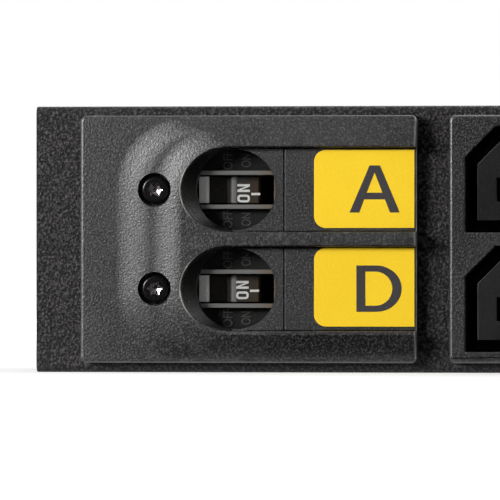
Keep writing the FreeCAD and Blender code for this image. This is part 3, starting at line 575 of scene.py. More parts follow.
def rocker_plastic():
    """Dark olive plastic, with painted highlights at the tip and along the ridge, brown towards the
    face's end.
    """
    material, tree, shader, colour = moulded("rocker_plastic", *ROCKER_PLASTIC)
    along = minus(tree, object_axes(tree)[0], HOLE_X)
    # Painted highlights on the tip and ridge
    tip_highlight = larger(tree, band(tree, along, *TIP_HIGHLIGHT), band(tree, along, *TIP_EDGE_HIGHLIGHT))
    ridge_highlight = times(tree, band(tree, along, *RIDGE_HIGHLIGHT), RIDGE_HIGHLIGHT_SHARE)
    face = times(tree, band(tree, along, *ROCKER_FACE), ROCKER_FACE_SHARE)
    colour = blend_colours(tree, face, colour, ROCKER_FACE_COLOUR)
    speck = use(tree, GRAIN, Scale=ROCKER_GRAIN_SCALE)["Speck"]
    highlight_breakup = stretch(tree, speck, 0.0, 1.0, LEAST_TIP_HIGHLIGHT, 1.0)
    painted_highlight = times(tree, larger(tree, tip_highlight, ridge_highlight), highlight_breakup)
    colour = blend_colours(tree, painted_highlight, colour, ROCKER_PAINTED_HIGHLIGHT)
    colour = blend_colours(tree, stretch(tree, along, *FACE_TURNS_BROWN), colour, ROCKER_BROWN)
    tree.links.new(colour, shader.inputs["Base Color"])
    return material


def metal(name, dark, light, roughness, scale):
    """Plated or bare metal: mottled tone, fine streaks in its gloss."""
    material, tree, shader = begin_finish(name)
    grain = use(tree, GRAIN, Scale=scale, Patch_Scale=scale / PATCHES_PER_GRAIN)
    tree.links.new(tones(tree, grain["Patch"], dark, light), shader.inputs["Base Color"])
    streak = use(tree, HANDLING)["Streak"]
    gloss = stretch(tree, streak, 0.0, 1.0, roughness, roughness + METAL_STREAK_DULLS)
    tree.links.new(gloss, shader.inputs["Roughness"])
    bump(tree, shader, grain["Height"], METAL_BUMP, METAL_DEPTH)
    shader.inputs["Metallic"].default_value = 1.0
    return material


def black_screw():
    """Blackened steel, worn bright in patches where the driver bites."""
    material, tree, shader = begin_finish("black_screw")
    grain = use(tree, GRAIN, Scale=SCREW_GRAIN_SCALE, Patch_Scale=SCREW_PATCH_SCALE)
    along, depth, up = object_axes(tree)
    from_row = minus(tree, unsigned(tree, up), rows["a"])
    from_axis = flat_length(tree, minus(tree, along, SCREW_X), from_row)
    worn = times(tree, band(tree, from_axis, *WORN_RADIUS), band(tree, depth, *WORN_DEPTHS))
    worn = times(tree, worn, stretch(tree, grain["Patch"], *WORN_PATCHES))
    colour = tones(tree, grain["Speck"], SCREW_DARK, SCREW_LIGHT)
    tree.links.new(blend_colours(tree, worn, colour, WORN_STEEL), shader.inputs["Base Color"])
    tree.links.new(worn, shader.inputs["Metallic"])
    streak = use(tree, HANDLING)["Streak"]
    gloss = stretch(tree, streak, 0.0, 1.0, SCREW_SHEEN, SCREW_DULL)
    tree.links.new(gloss, shader.inputs["Roughness"])
    bump(tree, shader, grain["Height"], SCREW_BUMP, METAL_DEPTH)
    shader.inputs["Specular IOR Level"].default_value = SCREW_SPECULAR
    return material


PLASTICS = {
    "label_yellow": ((0.9, 0.59, 0.018), (0.97, 0.665, 0.025), 0.5, 2400.0, 0.02 * MM, 0.2),
    "print_ink": ((0.035, 0.031, 0.033), (0.065, 0.058, 0.06), 0.5, 2600.0, 0.015 * MM, 0.3),
    "print_white": ((0.6, 0.6, 0.58), (0.78, 0.78, 0.76), 0.5, 2600.0, 0.015 * MM, 0.3),
    # Painted highlight: the raised flank words are the breakers' black plastic, lightened to stand
    # in for the light their edges catch
    "flank_mark_highlight": ((0.03, 0.03, 0.029), (0.08, 0.079, 0.077), 0.5, 2600.0, 0.015 * MM, 0.3),
    "outlet_plastic": ((0.008, 0.008, 0.0085), (0.018, 0.018, 0.019), 0.38, 2600.0, 0.03 * MM, 0.4),
    "gland_plastic": (grey(0.009), grey(0.02), 0.45, 2000.0, 0.03 * MM, 0.4),
    "seal_rubber": (grey(0.012), grey(0.026), 0.7, 1800.0, 0.04 * MM, 0.3),
    "terminal_plastic": ((0.46, 0.45, 0.41), (0.56, 0.55, 0.5), 0.45, 2400.0, 0.03 * MM, 0.4),
    "line_insulation": ((0.15, 0.065, 0.03), (0.22, 0.1, 0.045), 0.4, 2000.0, 0.02 * MM, 0.4),
    "neutral_insulation": ((0.02, 0.11, 0.42), (0.035, 0.16, 0.55), 0.4, 2000.0, 0.02 * MM, 0.4),
    "earth_insulation": ((0.08, 0.36, 0.07), (0.12, 0.46, 0.1), 0.4, 2000.0, 0.02 * MM, 0.4),
}
finishes = {name: moulded(name, *values)[0] for name, values in PLASTICS.items()}
finishes["chassis_paint"] = chassis_paint()
finishes["bezel_plastic"] = bezel_plastic()
finishes["breaker_plastic"] = breaker_plastic()
finishes["rocker_plastic"] = rocker_plastic()
finishes["black_screw"] = black_screw()
finishes["zinc_steel"] = metal("zinc_steel", dark=(0.44, 0.44, 0.43), light=(0.62, 0.62, 0.61),
                               roughness=0.3, scale=1200.0)
finishes["brass"] = metal("brass", dark=(0.55, 0.38, 0.15), light=(0.74, 0.53, 0.24),
                          roughness=0.28, scale=1500.0)


# Nodes that keep their own mesh, inside the case
buses = [pole + "_bus_" + row for pole in ("line", "neutral", "earth") for row in "ad"]
breaker_brass = ["breaker_%s_%s" % (row, part) for row in "ad"
                 for part in ("insert", "line_blade", "load_blade")]
node_finishes = {
    "zinc_steel": ["breaker_strap", "rocker_pin_a", "rocker_pin_d"],
    "brass": ["earth_tab", "terminal_clamps"] + buses + breaker_brass,
    "gland_plastic": ["gland_locknut"],
    "terminal_plastic": ["terminal_block"],
    "line_insulation": ["feed_wires", "load_wires"],
    "neutral_insulation": ["neutral_wires"],
    "earth_insulation": ["earth_wires"],
}
for finish, nodes in node_finishes.items():
    for node in nodes:
        for place in frame["nodes"][node].material_slots:
            place.material = finishes[finish]


# Labels and plates reach further right than their nodes, and each label's top and bottom go up
LABEL_REACH = 0.52 * MM
LABEL_LIFT = {"a": (0.04 * MM, 0.23 * MM), "d": (0.27 * MM, 0.35 * MM)}


def refit(piece, low, high, right, lift=(0.0, 0.0)):
    """Spreads a piece from its left side so that its right side, top and bottom move as given."""
    top, bottom = lift
    across = (high[0] - low[0] + right) / (high[0] - low[0])
    up = (high[2] - low[2] + top - bottom) / (high[2] - low[2])
    alone(piece)
    bpy.ops.object.mode_set(mode="EDIT")
    bpy.ops.mesh.select_all(action="SELECT")
    bpy.ops.transform.resize(value=(across, 1, up), center_override=(low[0], low[1], high[2]))
    bpy.ops.transform.translate(value=(0, 0, top))
    bpy.ops.object.mode_set(mode="OBJECT")


# Case, outlet bezel, labels, breakers, outlets and gland, each a smoothed copy of its node
BUTTON_ROUND = GLAND_ROUND = 0.4 * MM
OUTLET_BEZEL_ROUND = 0.3 * MM
LABEL_ROUND = 0.05 * MM
OUTLET_ROUND = 0.25 * MM
SEAL_ROUND = 0.5 * MM
for node in ("front_cover", "rear_channel", "end_plate_left", "end_plate_right"):
    dressed(node, "chassis", "chassis_paint")
dressed("mounting_buttons", "chassis", "zinc_steel", BUTTON_ROUND)
dressed("outlet_bezel", "chassis", "bezel_plastic", OUTLET_BEZEL_ROUND)
for row in "ad":
    plate = dressed("label_plate_" + row, "chassis", "bezel_plastic")
    refit(plate, *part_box("label_plate_" + row), LABEL_REACH)
    film = dressed("label_" + row, "chassis", "label_yellow", LABEL_ROUND)
    refit(film, *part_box("label_" + row), LABEL_REACH, LABEL_LIFT[row])
    for half in ("upper", "lower"):
        dressed("breaker_%s_case_%s" % (row, half), "chassis", "breaker_plastic")
    dressed("rocker_" + row, "rocker_" + row, "rocker_plastic")
    for number in "123":
        dressed("outlet_" + row + number, "chassis", "outlet_plastic", OUTLET_ROUND)
for node in ("gland_body", "gland_nut"):
    dressed(node, "chassis", "gland_plastic", GLAND_ROUND)
dressed("gland_seal", "chassis", "seal_rubber", SEAL_ROUND)


# Breaker bezel: a rounded plate, a smooth mound on it, then the scoops, channels and screw holes

COVER_FACE = -53.0 * MM
RIM = -55.5 * MM
CREST = -57.2 * MM
PLATE_CORNER = 1.2 * MM
PLATE_EDGE = 0.6 * MM
PLATE_CORNER_STEPS = 8
PLATE_EDGE_STEPS = 5
MOUND_RIGHT = bezel_high[0] - 0.12 * MM
MOUND_FOOT = 23.3 * MM
MOUND_CREST_HALF = 18.6 * MM
MOUND_SINK = 0.3 * MM
TOE_CORNER = 13.0 * MM
TOE_STEPS = 24
# How far in from the left edge and how high each knee of the mound's left flank is, in mm
MOUND_KNEES = [(5.4, 0.0), (8.0, 0.0), (12.7, 0.8), (15.4, 0.86), (19.4, 1.7), (21.4, 1.7)]
KNEE_BLEND = 0.42
KNEE_STEPS = 8
SIDE_CUTS = 12
HOLE_RADIUS = 7.86 * MM
SCOOP_SIDES = 96
CHANNEL_FLOOR = -55.2 * MM
# The lip's turns are in degrees, and its run past the crest is in shares of its round
LIP_ROUND = 0.35 * MM
LIP_TURNS = (20, 40, 60, 80)
LIP_OVERRUN = (1.15, 1.8)
POCKET_LEFT = -59.2 * MM
POCKET_RIGHT = -33.33 * MM
POCKET_FLOOR = -54.0 * MM
COUNTERBORE_RADIUS = 3.3 * MM
COUNTERBORE_FLOOR = -53.7 * MM
COUNTERBORE_SIDES = 72
SCREW_HOLE = 1.7 * MM
SCREW_HOLE_SIDES = 36
THROUGH = 2.0 * MM
SEAM_WIDTH = 0.2 * MM
SEAM_DEPTH = 0.5 * MM
SEAM_LEFT = -66.3 * MM


def box_piece(name, x_range, y_range, z_range):
    spans = (x_range, y_range, z_range)
    bpy.ops.mesh.primitive_cube_add(size=1, location=[sum(span) / 2 for span in spans],
                                    scale=[abs(span[1] - span[0]) for span in spans])
    piece = named(name)
    apply_place(piece)
    return piece


def bar(name, sides, radius, start, end, x, z):
    """A bar along Y between two depths."""
    bpy.ops.mesh.primitive_cylinder_add(vertices=sides, radius=radius, depth=abs(end - start),
                                        location=(x, (start + end) / 2, z), rotation=FACING_FRONT)
    piece = named(name)
    apply_place(piece)
    return piece


def pick_front(piece):
    """Into edit mode with the faces selected that look straight ahead."""
    pick_faces(piece, lambda normal: normal.y < -STRAIGHT)


def round_edges(piece, test, radius, steps):
    pick_edges(piece, test)
    bpy.ops.mesh.bevel(offset=radius, segments=steps)
    bpy.ops.object.mode_set(mode="OBJECT")


def raise_front(forward, across=0.0, spread=(1, 1, 1), centre=(0, 0, 0)):
    """Draws the selected front faces forward, then moves and spreads their outline."""
    bpy.ops.mesh.extrude_region_move(TRANSFORM_OT_translate={"value": (across, -forward, 0)})
    bpy.ops.transform.resize(value=spread, center_override=centre)


def carve(piece, cutter, operation="DIFFERENCE"):
    modify(piece, "BOOLEAN", operation=operation, solver="EXACT", object=cutter)
    bpy.data.objects.remove(cutter)


def bezel_plate():
    plate = box_piece("breaker_bezel_dressed", (bezel_low[0], bezel_high[0]), (RIM, COVER_FACE),
                      (bezel_low[2], bezel_high[2]))
    depth = COVER_FACE - RIM
    round_edges(plate, lambda first, second: abs(first.y - second.y) > depth / 2,
                PLATE_CORNER, PLATE_CORNER_STEPS)
    round_edges(plate, lambda first, second: max(first.y, second.y) < RIM + MERGE,
                PLATE_EDGE, PLATE_EDGE_STEPS)
    return plate


def mound_rings():
    """(inset, rise) up the mound's left flank, every knee blended."""
    rings = []
    for before, knee, after in zip(MOUND_KNEES, MOUND_KNEES[1:], MOUND_KNEES[2:]):
        start = [here + KNEE_BLEND * (there - here) for here, there in zip(knee, before)]
        end = [here + KNEE_BLEND * (there - here) for here, there in zip(knee, after)]
        for step in range(KNEE_STEPS):
            share = step / (KNEE_STEPS - 1)
            weights = ((1 - share) ** 2, 2 * share * (1 - share), share ** 2)
            ring = [sum(weight * place for weight, place in zip(weights, places)) * MM
                    for places in zip(start, knee, end)]
            rings.append(ring)
    return rings


def mound():
    rings = mound_rings()
    inset, rise = rings[0]
    piece = box_piece("mound", (bezel_low[0] + inset, MOUND_RIGHT), (RIM, RIM + MOUND_SINK),
                      (-MOUND_FOOT, MOUND_FOOT))
    round_edges(piece, lambda first, second: abs(first.y - second.y) > MOUND_SINK / 2
                and first.x < bezel_low[0] + inset + MERGE, TOE_CORNER, TOE_STEPS)
    alone(piece)
    bpy.ops.object.mode_set(mode="EDIT")
    length = MOUND_RIGHT - bezel_low[0]
    for step in range(1, SIDE_CUTS):
        bpy.ops.mesh.select_all(action="SELECT")
        height = MOUND_FOOT * (2 * step / SIDE_CUTS - 1)
        bpy.ops.mesh.bisect(plane_co=(0, 0, height), plane_no=(0, 0, 1))
        bpy.ops.mesh.select_all(action="SELECT")
        along = bezel_low[0] + length * step / SIDE_CUTS
        bpy.ops.mesh.bisect(plane_co=(along, 0, 0), plane_no=(1, 0, 0))
    pick_front(piece)
    lean = (MOUND_FOOT - MOUND_CREST_HALF) / (RIM - CREST)
    half = MOUND_FOOT
    for next_inset, next_rise in rings[1:]:
        next_half = MOUND_FOOT - lean * next_rise
        spread = ((length - next_inset) / (length - inset), 1, next_half / half)
        raise_front(next_rise - rise, 0, spread, (MOUND_RIGHT, 0, 0))
        inset, rise, half = next_inset, next_rise, next_half
    bpy.ops.object.mode_set(mode="OBJECT")
    return piece


def lip_steps():
    """(forward, outward) of the rounded lip of a scoop or channel, from its wall over the crest."""
    steps = []
    for turn in LIP_TURNS:
        angle = math.radians(turn)
        steps.append((LIP_ROUND * math.sin(angle), LIP_ROUND * (1 - math.cos(angle))))
    return steps + [(LIP_ROUND * LIP_OVERRUN[0], LIP_ROUND * LIP_OVERRUN[1])]


def scoop_cutter(z):
    """A round hole that widens towards the left on its way to the crest."""
    cutter = bar("scoop_cutter", SCOOP_SIDES, HOLE_RADIUS, COVER_FACE + THROUGH, CHANNEL_FLOOR,
                 HOLE_X, z)
    pick_front(cutter)
    lip = CREST + LIP_ROUND
    raise_front(CHANNEL_FLOOR - lip, SCOOP_CENTRE - HOLE_X,
                (SCOOP_HALF / HOLE_RADIUS, 1, CHANNEL_HALF / HOLE_RADIUS), (SCOOP_CENTRE, 0, z))
    reached, out = 0.0, 0.0
    for forward, outward in lip_steps():
        spread = [(half + outward) / (half + out) for half in (SCOOP_HALF, CHANNEL_HALF)]
        raise_front(forward - reached, 0, (spread[0], 1, spread[1]), (SCOOP_CENTRE, 0, z))
        reached, out = forward, outward
    bpy.ops.object.mode_set(mode="OBJECT")
    return cutter


def channel_cutter(z):
    cutter = box_piece("channel_cutter", (SCOOP_CENTRE, bezel_high[0] + THROUGH),
                       (CREST + LIP_ROUND, CHANNEL_FLOOR), (z - CHANNEL_HALF, z + CHANNEL_HALF))
    pick_front(cutter)
    reached, out = 0.0, 0.0
    for forward, outward in lip_steps():
        spread = (1, 1, (CHANNEL_HALF + outward) / (CHANNEL_HALF + out))
        raise_front(forward - reached, 0, spread, (0, 0, z))
        reached, out = forward, outward
    bpy.ops.object.mode_set(mode="OBJECT")
    return cutter


bezel = bezel_plate()
carve(bezel, mound(), "UNION")
for z in rows.values():
    carve(bezel, scoop_cutter(z))
    carve(bezel, channel_cutter(z))
    carve(bezel, box_piece("pocket_cutter", (POCKET_LEFT, POCKET_RIGHT),
                           (CHANNEL_FLOOR - THROUGH, POCKET_FLOOR),
                           (z - CHANNEL_HALF, z + CHANNEL_HALF)))
    for wall in (z - CHANNEL_HALF + SEAM_WIDTH / 2, z + CHANNEL_HALF - SEAM_WIDTH / 2):
        carve(bezel, box_piece("seam_cutter", (SEAM_LEFT, POCKET_LEFT),
                               (CHANNEL_FLOOR - SEAM_DEPTH, CHANNEL_FLOOR + SEAM_DEPTH),
                               (wall - SEAM_WIDTH / 2, wall + SEAM_WIDTH / 2)))
    carve(bezel, bar("counterbore_cutter", COUNTERBORE_SIDES, COUNTERBORE_RADIUS, CREST - THROUGH,
                     COUNTERBORE_FLOOR, SCREW_X, z))
    carve(bezel, bar("hole_cutter", SCREW_HOLE_SIDES, SCREW_HOLE, CREST - THROUGH,
                     COVER_FACE + THROUGH, SCREW_X, z))
smooth(bezel)
settle(bezel, "chassis", "bezel_plastic", finishes["bezel_plastic"], "breaker_bezel")


# Screws in the bezel

HEAD_RADIUS = 2.75 * MM
HEAD_FRONT = -55.6 * MM
HEAD_BACK = -53.7 * MM
HEAD_ROUND = 0.7 * MM
HEAD_SIDES = 72
HEAD_STEPS = 6
SHANK_RADIUS = 1.5 * MM
SHANK_END = -45.8 * MM
SHANK_SIDES = 36
LOBE_REACH = 1.6 * MM
LOBE_VALLEY = 0.66
LOBE_ROUND = 0.18 * MM
LOBE_SIDES = 12
LOBE_STEPS = 3
DRIVE_DEPTH = 1.1 * MM
POINT_DEPTH = 0.42 * MM
POINT_END = 0.3


def drive_cutter(x, z):
    """A six-lobed plug: every second long edge of a bar drawn in, all rounded, a blunt point."""
    cutter = bar("drive_cutter", LOBE_SIDES, LOBE_REACH, HEAD_FRONT - DRIVE_DEPTH,
                 HEAD_FRONT + DRIVE_DEPTH, x, z)

    def turn(point):
        return math.degrees(math.atan2(point.z - z, point.x - x))

    def inner(first, second):
        number = round(turn(first) * LOBE_SIDES / 360)
        return abs(first.y - second.y) > DRIVE_DEPTH and number % 2 == 1

    pick_edges(cutter, inner)
    bpy.ops.transform.resize(value=(LOBE_VALLEY, 1, LOBE_VALLEY),
                             center_override=(x, HEAD_FRONT, z))
    pick_edges(cutter, lambda first, second: abs(first.y - second.y) > DRIVE_DEPTH)
    bpy.ops.mesh.bevel(offset=LOBE_ROUND, segments=LOBE_STEPS)
    pick_faces(cutter, lambda normal: normal.y > STRAIGHT)
    bpy.ops.mesh.extrude_region_move(TRANSFORM_OT_translate={"value": (0, POINT_DEPTH, 0)})
    bpy.ops.transform.resize(value=(POINT_END, 1, POINT_END), center_override=(x, HEAD_FRONT, z))
    bpy.ops.object.mode_set(mode="OBJECT")
    return cutter


def bezel_screw(x, z):
    head = bar("bezel_screw", HEAD_SIDES, HEAD_RADIUS, HEAD_FRONT, HEAD_BACK, x, z)
    pick_edges(head, lambda first, second: max(first.y, second.y) < HEAD_FRONT + MERGE
               and (first - second).length < HEAD_RADIUS)
    bpy.ops.mesh.bevel(offset=HEAD_ROUND, segments=HEAD_STEPS)
    bpy.ops.object.mode_set(mode="OBJECT")
    shank = bar("screw_shank", SHANK_SIDES, SHANK_RADIUS, HEAD_BACK - HEAD_ROUND, SHANK_END, x, z)
    carve(head, shank, "UNION")
    carve(head, drive_cutter(x, z))
    smooth(head)
    return head


first_screw = bezel_screw(SCREW_X, rows["a"])
alone(first_screw)
bpy.ops.object.duplicate()
second_screw = bpy.context.active_object
second_screw.location.z = rows["d"] - rows["a"]
apply_place(second_screw)
for name, screw in (("bezel_screw_a", first_screw), ("bezel_screw_d", second_screw)):
    screw.name = name
    screw.data.name = name
settle(first_screw, "chassis", "black_screw", finishes["black_screw"], "bezel_screws")
settle(second_screw, "chassis", "black_screw", finishes["black_screw"])


# Letters on the labels, drawn as flat outlines in mm from their own lower left corner. A is corner
# points, and each bowl of D is its left, right, where it starts to bend, low and high.

LETTER_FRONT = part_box("label_a")[0][1]
LETTER_A = [[(0, 0), (3.93, 9.16), (5.97, 9.16), (9.82, 0),
             (7.9, 0), (6.93, 2.55), (2.89, 2.55), (1.92, 0)],
            [(4.91, 7.78), (3.37, 3.87), (6.43, 3.87)]]
LETTER_A_CORNER = (-46.22, 5.18)
LETTER_D = [(0, 8.84, 3.9, 0, 9.02), (1.75, 7.02, 3.7, 1.2, 7.82)]
LETTER_D_CORNER = (-44.87, -14.12)
ROUND_HANDLE = 0.5523


def flat_curve(name):
    curve = bpy.data.curves.new(name, "CURVE")
    curve.dimensions = "2D"
    curve.fill_mode = "BOTH"
    curve.extrude = PRINT_THICKNESS / 2
    return curve


def straight_outline(curve, corners):
    spline = curve.splines.new("POLY")
    spline.points.add(len(corners) - 1)
    for point, (across, up) in zip(spline.points, corners):
        point.co = (across * MM, up * MM, 0, 1)
    spline.use_cyclic_u = True


def bowl_outline(curve, left, right, bend, low, high):
    """A straight back and a bowl made of two quarter ovals."""
    middle = (low + high) / 2
    reach, rise = (right - bend) * ROUND_HANDLE, (high - low) / 2 * ROUND_HANDLE
    points = [((left, low), (left, low), (left, low)), ((left, high), (left, high), (left, high)),
              ((bend, high), (bend, high), (bend + reach, high)),
              ((right, middle), (right, middle + rise), (right, middle - rise)),
              ((bend, low), (bend + reach, low), (bend, low))]
    spline = curve.splines.new("BEZIER")
    spline.bezier_points.add(len(points) - 1)
    for made, places in zip(spline.bezier_points, points):
        made.handle_left_type = made.handle_right_type = "FREE"
        centre, before, after = [(across * MM, up * MM, 0) for across, up in places]
        made.co, made.handle_left, made.handle_right = centre, before, after
    spline.use_cyclic_u = True


def round_outline(curve, left, right, low, high, radius):
    """An upright block with round corners."""
    corners = [((left, low), (1, 0), (0, 1)), ((left, high), (0, -1), (1, 0)),
               ((right, high), (-1, 0), (0, -1)), ((right, low), (0, 1), (-1, 0))]
    spline = curve.splines.new("BEZIER")
    spline.bezier_points.add(2 * len(corners) - 1)
    pull = radius * (1 - ROUND_HANDLE)
    for index, (corner, into, out_of) in enumerate(corners):
        for made, way, inner in ((spline.bezier_points[2 * index], into, "handle_right"),
                                 (spline.bezier_points[2 * index + 1], out_of, "handle_left")):
            made.handle_left_type = made.handle_right_type = "FREE"
            ends = [((corner[0] + way[0] * reach) * MM, (corner[1] + way[1] * reach) * MM, 0)
                    for reach in (radius, pull)]
            made.co = made.handle_left = made.handle_right = ends[0]
            setattr(made, inner, ends[1])
    spline.use_cyclic_u = True


def flat_mesh(curve, name):
    letter = bpy.data.objects.new(name, curve)
    bpy.context.collection.objects.link(letter)
    alone(letter)
    bpy.ops.object.convert(target="MESH")
    return named(name)


def stand_up(curve, corner, name):
    """Makes a flat curve a mesh and stands it on the front of its label."""
    letter = flat_mesh(curve, name)
    letter.rotation_euler = FACING_FRONT
    letter.location = (corner[0] * MM, LETTER_FRONT - PRINT_THICKNESS / 2, corner[1] * MM)
    apply_place(letter)
    settle(letter, "chassis", "black_screw", finishes["print_ink"])


letter_a = flat_curve("letter_a")
for corners in LETTER_A:
    straight_outline(letter_a, corners)
stand_up(letter_a, LETTER_A_CORNER, "letter_a")
letter_d = flat_curve("letter_d")
for sizes in LETTER_D:
    bowl_outline(letter_d, *sizes)
stand_up(letter_d, LETTER_D_CORNER, "letter_d")


# Marks on the rockers, in mm along and up from the middle of each, and words beside them. O is its
# width and corner, N its width and stem, and a word its text, x, cap height and width.

FACE_DROP, FACE_LENGTH = 0.8, 4.9
FACE_TILT = math.atan2(FACE_DROP, FACE_LENGTH)
FACE_START = (-1.1, 2.4)
STATE_PLACE = (0.92, -0.65)
STATE_CAP = 2.45
STATE_STROKE = 0.43
LETTER_O = (1.5, 0.62)
LETTER_N = (1.55, 0.46)
LETTER_GAP = 0.52
BAR_PLACE = (3.25, -0.8)
BAR_SIZE = (0.46, 1.75)
# How far each row's marks stand off those places
MARK_SHIFT = {"a": (0.0, 0.0), "d": (-0.24, 0.38)}
FLANK_FLOOR = -50.7 * MM
FLANK_OFFSET = 5.75 * MM
FLANK_RAISE = 0.12 * MM
FLANK_STROKE = 0.015
FLANK_WORDS = (("OFF", -70.65 * MM, 1.9 * MM, 3.6 * MM), ("ON", -67.05 * MM, 1.9 * MM, 2.6 * MM))


def state_mark(name):
    """ON in narrow bold letters, its middle on the origin."""
    curve = flat_curve(name)
    half, top = (LETTER_O[0] + LETTER_GAP + LETTER_N[0]) / 2, STATE_CAP / 2
    left, right = -half, LETTER_O[0] - half
    round_outline(curve, left, right, -top, top, LETTER_O[1])
    round_outline(curve, left + STATE_STROKE, right - STATE_STROKE,
                  STATE_STROKE - top, top - STATE_STROKE, LETTER_O[1] - STATE_STROKE)
    left, right = half - LETTER_N[0], half
    stem = LETTER_N[1]
    straight_outline(curve, [(left, -top), (left, top), (left + stem, top), (right - stem, -stem),
                             (right - stem, top), (right, top), (right, -top), (right - stem, -top),
                             (left + stem, stem), (left + stem, -top)])
    return flat_mesh(curve, name)


def bar_mark(name):
    curve = flat_curve(name)
    across, up = BAR_SIZE[0] / 2, BAR_SIZE[1] / 2
    straight_outline(curve, [(-across, -up), (-across, up), (across, up), (across, -up)])
    return flat_mesh(curve, name)


def words(name, text, cap, width, thickness):
    """Plain words as a mesh, set to a cap height and a width, centred on the origin."""
    bpy.ops.object.text_add(location=(0, 0, 0))
    lettering = bpy.context.active_object
    lettering.data.body = text
    lettering.data.align_x = "CENTER"
    lettering.data.align_y = "CENTER"
    lettering.data.extrude = thickness / 2
    lettering.data.offset = FLANK_STROKE
    bpy.ops.object.convert(target="MESH")
    piece = named(name)
    bpy.ops.object.origin_set(type="ORIGIN_GEOMETRY", center="BOUNDS")
    piece.location = (0, 0, 0)
    piece.scale = (width / piece.dimensions.x, cap / piece.dimensions.y, 1)
    apply_place(piece)
    return piece


def on_face(along):
    """x and y of a point on the rocker's face, which leans back to the right."""
    deep = FACE_START[1] + (along - FACE_START[0]) * math.tan(FACE_TILT)
    return HOLE_X + along * MM, COVER_FACE + deep * MM - PRINT_THICKNESS / 2


def tilted(piece, along, z):
    x, y = on_face(along)
    piece.location = (x, y, z)
    piece.rotation_euler = (*FACING_FRONT_TURNED[:2], FACE_TILT)
    apply_place(piece)


for row, z in rows.items():
    right, up = MARK_SHIFT[row]
    state = state_mark("state_" + row)
    tilted(state, STATE_PLACE[0] + right, z + (STATE_PLACE[1] + up) * MM)
    settle(state, "rocker_" + row, "rocker_plastic", finishes["print_white"])
    mark = bar_mark("bar_" + row)
    tilted(mark, BAR_PLACE[0] + right, z + (BAR_PLACE[1] + up) * MM)
    settle(mark, "rocker_" + row, "rocker_plastic", finishes["print_white"])
    for side, end in ((1, "upper"), (-1, "lower")):
        for text, x, cap, width in FLANK_WORDS:
            name = "flank_%s_%s_%s" % (text.lower(), row, end)
            raised = words(name, text, cap, width, FLANK_RAISE)
            raised.location = (x, FLANK_FLOOR - FLANK_RAISE / 2, z + side * FLANK_OFFSET)
            raised.rotation_euler = FACING_FRONT_TURNED
            apply_place(raised)
            # The flank words carry a painted highlight in their colour
            settle(raised, "chassis", "breaker_plastic", finishes["flank_mark_highlight"])


# Floor, light and camera

FLOOR_SIZE = 24.0
CARD_WIDTH = 10.0
CARD_DEPTH = 1.3
CARD_HEIGHT = 2.6
CARD_GAP = 57.5 * MM
CARD_LIFT = 1.0 * MM
WORLD_FILL = 0.14
FLOOR_NEAR = 0.2
FLOOR_FAR = 0.6
GLOW_NEAR = 0.36
GLOW_FAR = 1.0
FIBRE_SCALE, FIBRE_DETAIL = 40.0, 3.0
BOUNCE_DARK, BOUNCE_LIGHT = grey(0.2), grey(0.24)
PAPER_DARK, PAPER_LIGHT = grey(0.78), grey(0.82)
CARD_SCALE, CARD_DETAIL = 60.0, 2.0
CARD_DARK, CARD_LIGHT = grey(0.004), grey(0.008)
WHITE = (1, 1, 1, 1)
CLIP_END = 100.0


def seen_directly(tree):
    """1 for what the camera, a reflection or a clear part sees, 0 for light on the object."""
    path = add(tree, "ShaderNodeLightPath")
    seen = larger(tree, path.outputs["Is Camera Ray"], path.outputs["Is Glossy Ray"])
    return larger(tree, seen, path.outputs["Is Transmission Ray"])


def floor_finish():
    """White paper that takes the object's shadow, and glows white where the lamps don't reach."""
    material = bpy.data.materials.new("floor_paper")
    material.use_nodes = True
    tree = material.node_tree
    tree.nodes.clear()
    place = object_place(tree)
    fibres = noise(tree, place, FIBRE_SCALE, FIBRE_DETAIL)
    plain = add(tree, "ShaderNodeBsdfDiffuse")
    tree.links.new(tones(tree, fibres, BOUNCE_DARK, BOUNCE_LIGHT), plain.inputs["Color"])
    shade = add(tree, "ShaderNodeBsdfDiffuse")
    tree.links.new(tones(tree, fibres, PAPER_DARK, PAPER_LIGHT), shade.inputs["Color"])
    glow = add(tree, "ShaderNodeEmission")
    strength = stretch(tree, length_of(tree, place), FLOOR_NEAR, FLOOR_FAR, GLOW_NEAR, GLOW_FAR)
    tree.links.new(strength, glow.inputs["Strength"])
    white = add(tree, "ShaderNodeAddShader")
    tree.links.new(shade.outputs[0], white.inputs[0])
    tree.links.new(glow.outputs[0], white.inputs[1])
    both = add(tree, "ShaderNodeMixShader")
    tree.links.new(seen_directly(tree), both.inputs[0])
    tree.links.new(plain.outputs[0], both.inputs[1])
    tree.links.new(white.outputs[0], both.inputs[2])
    out = add(tree, "ShaderNodeOutputMaterial")
    tree.links.new(both.outputs[0], out.inputs["Surface"])
    return material


def card_finish():
    material, tree, shader = begin_finish("dark_card")
    mottle = noise(tree, object_place(tree), CARD_SCALE, CARD_DETAIL)
    tree.links.new(tones(tree, mottle, CARD_DARK, CARD_LIGHT), shader.inputs["Base Color"])
    shader.inputs["Specular IOR Level"].default_value = 0.0
    return material


bpy.ops.object.select_all(action="DESELECT")
bpy.ops.mesh.primitive_plane_add(size=FLOOR_SIZE, location=(0, 0, cad_box[0][2]))
floor = named("floor")
floor.data.materials.append(floor_finish())

# A dark card lying and standing in front of the unit, seen only in reflections
bpy.ops.object.select_all(action="DESELECT")
bpy.ops.mesh.primitive_plane_add(size=1, location=(0, -CARD_DEPTH / 2 - CARD_GAP,
                                                   cad_box[0][2] + CARD_LIFT))
card = named("dark_card")
card.scale = (CARD_WIDTH, CARD_DEPTH, 1)
apply_place(card)
pick_edges(card, lambda first, second: max(first.y, second.y) < -CARD_DEPTH)
bpy.ops.mesh.extrude_region_move(TRANSFORM_OT_translate={"value": (0, 0, CARD_HEIGHT)})
bpy.ops.object.mode_set(mode="OBJECT")
card.data.materials.append(card_finish())
card.visible_camera = card.visible_diffuse = card.visible_shadow = False

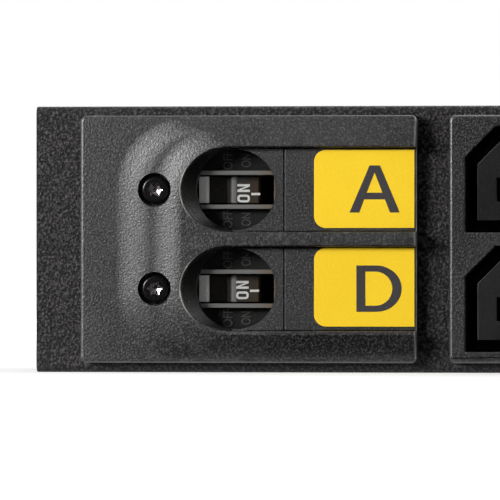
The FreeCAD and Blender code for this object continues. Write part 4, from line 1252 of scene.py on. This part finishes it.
world = bpy.data.worlds.new("studio")
bpy.context.scene.world = world
world.use_nodes = True
sky = world.node_tree
sky.nodes.clear()
fill = add(sky, "ShaderNodeBackground", {"Color": WHITE, "Strength": WORLD_FILL})
white = add(sky, "ShaderNodeBackground", {"Color": WHITE, "Strength": 1.0})
either = add(sky, "ShaderNodeMixShader")
sky.links.new(seen_directly(sky), either.inputs[0])
sky.links.new(fill.outputs[0], either.inputs[1])
sky.links.new(white.outputs[0], either.inputs[2])
sky.links.new(either.outputs[0], add(sky, "ShaderNodeOutputWorld").inputs["Surface"])


def direction(azimuth, elevation):
    level = math.cos(elevation)
    return (math.sin(azimuth) * level, -math.cos(azimuth) * level, math.sin(elevation))


def aim(thing, azimuth, elevation, distance, centre):
    """Puts a lamp or camera at a bearing from a centre, looking at it."""
    way = direction(azimuth, elevation)
    thing.location = [middle + distance * part for middle, part in zip(centre, way)]
    thing.rotation_euler = (math.pi / 2 - elevation, 0, azimuth)


def softbox(name, azimuth, elevation, distance, size, power):
    lamp = bpy.data.lights.new(name, "AREA")
    lamp.shape = "RECTANGLE"
    lamp.size, lamp.size_y = size
    lamp.energy = power
    thing = bpy.data.objects.new(name, lamp)
    bpy.context.collection.objects.link(thing)
    aim(thing, math.radians(azimuth), math.radians(elevation), distance, VIEW_CENTRE)
    thing.visible_camera = False
    return thing


softbox("key_softbox", azimuth=-49, elevation=16, distance=0.5, size=(0.28, 0.12), power=3.45)
fill_light = softbox("fill_softbox", azimuth=20, elevation=5, distance=0.8, size=(0.3, 0.3),
                     power=0.8)
fill_light.visible_glossy = False
softbox("side_softbox", azimuth=100, elevation=30, distance=1.0, size=(0.6, 0.6), power=5.0)
softbox("back_softbox", azimuth=170, elevation=35, distance=1.2, size=(0.8, 0.8), power=5.0)

camera = bpy.data.cameras.new("camera")
camera.lens = LENS
camera.sensor_width = SENSOR
camera.clip_end = CLIP_END
viewer = bpy.data.objects.new("camera", camera)
bpy.context.collection.objects.link(viewer)
aim(viewer, VIEW_AZIMUTH, VIEW_ELEVATION, VIEW_WIDTH * LENS / SENSOR, VIEW_CENTRE)
bpy.context.scene.camera = viewer
bpy.context.scene.view_settings.view_transform = "Standard"
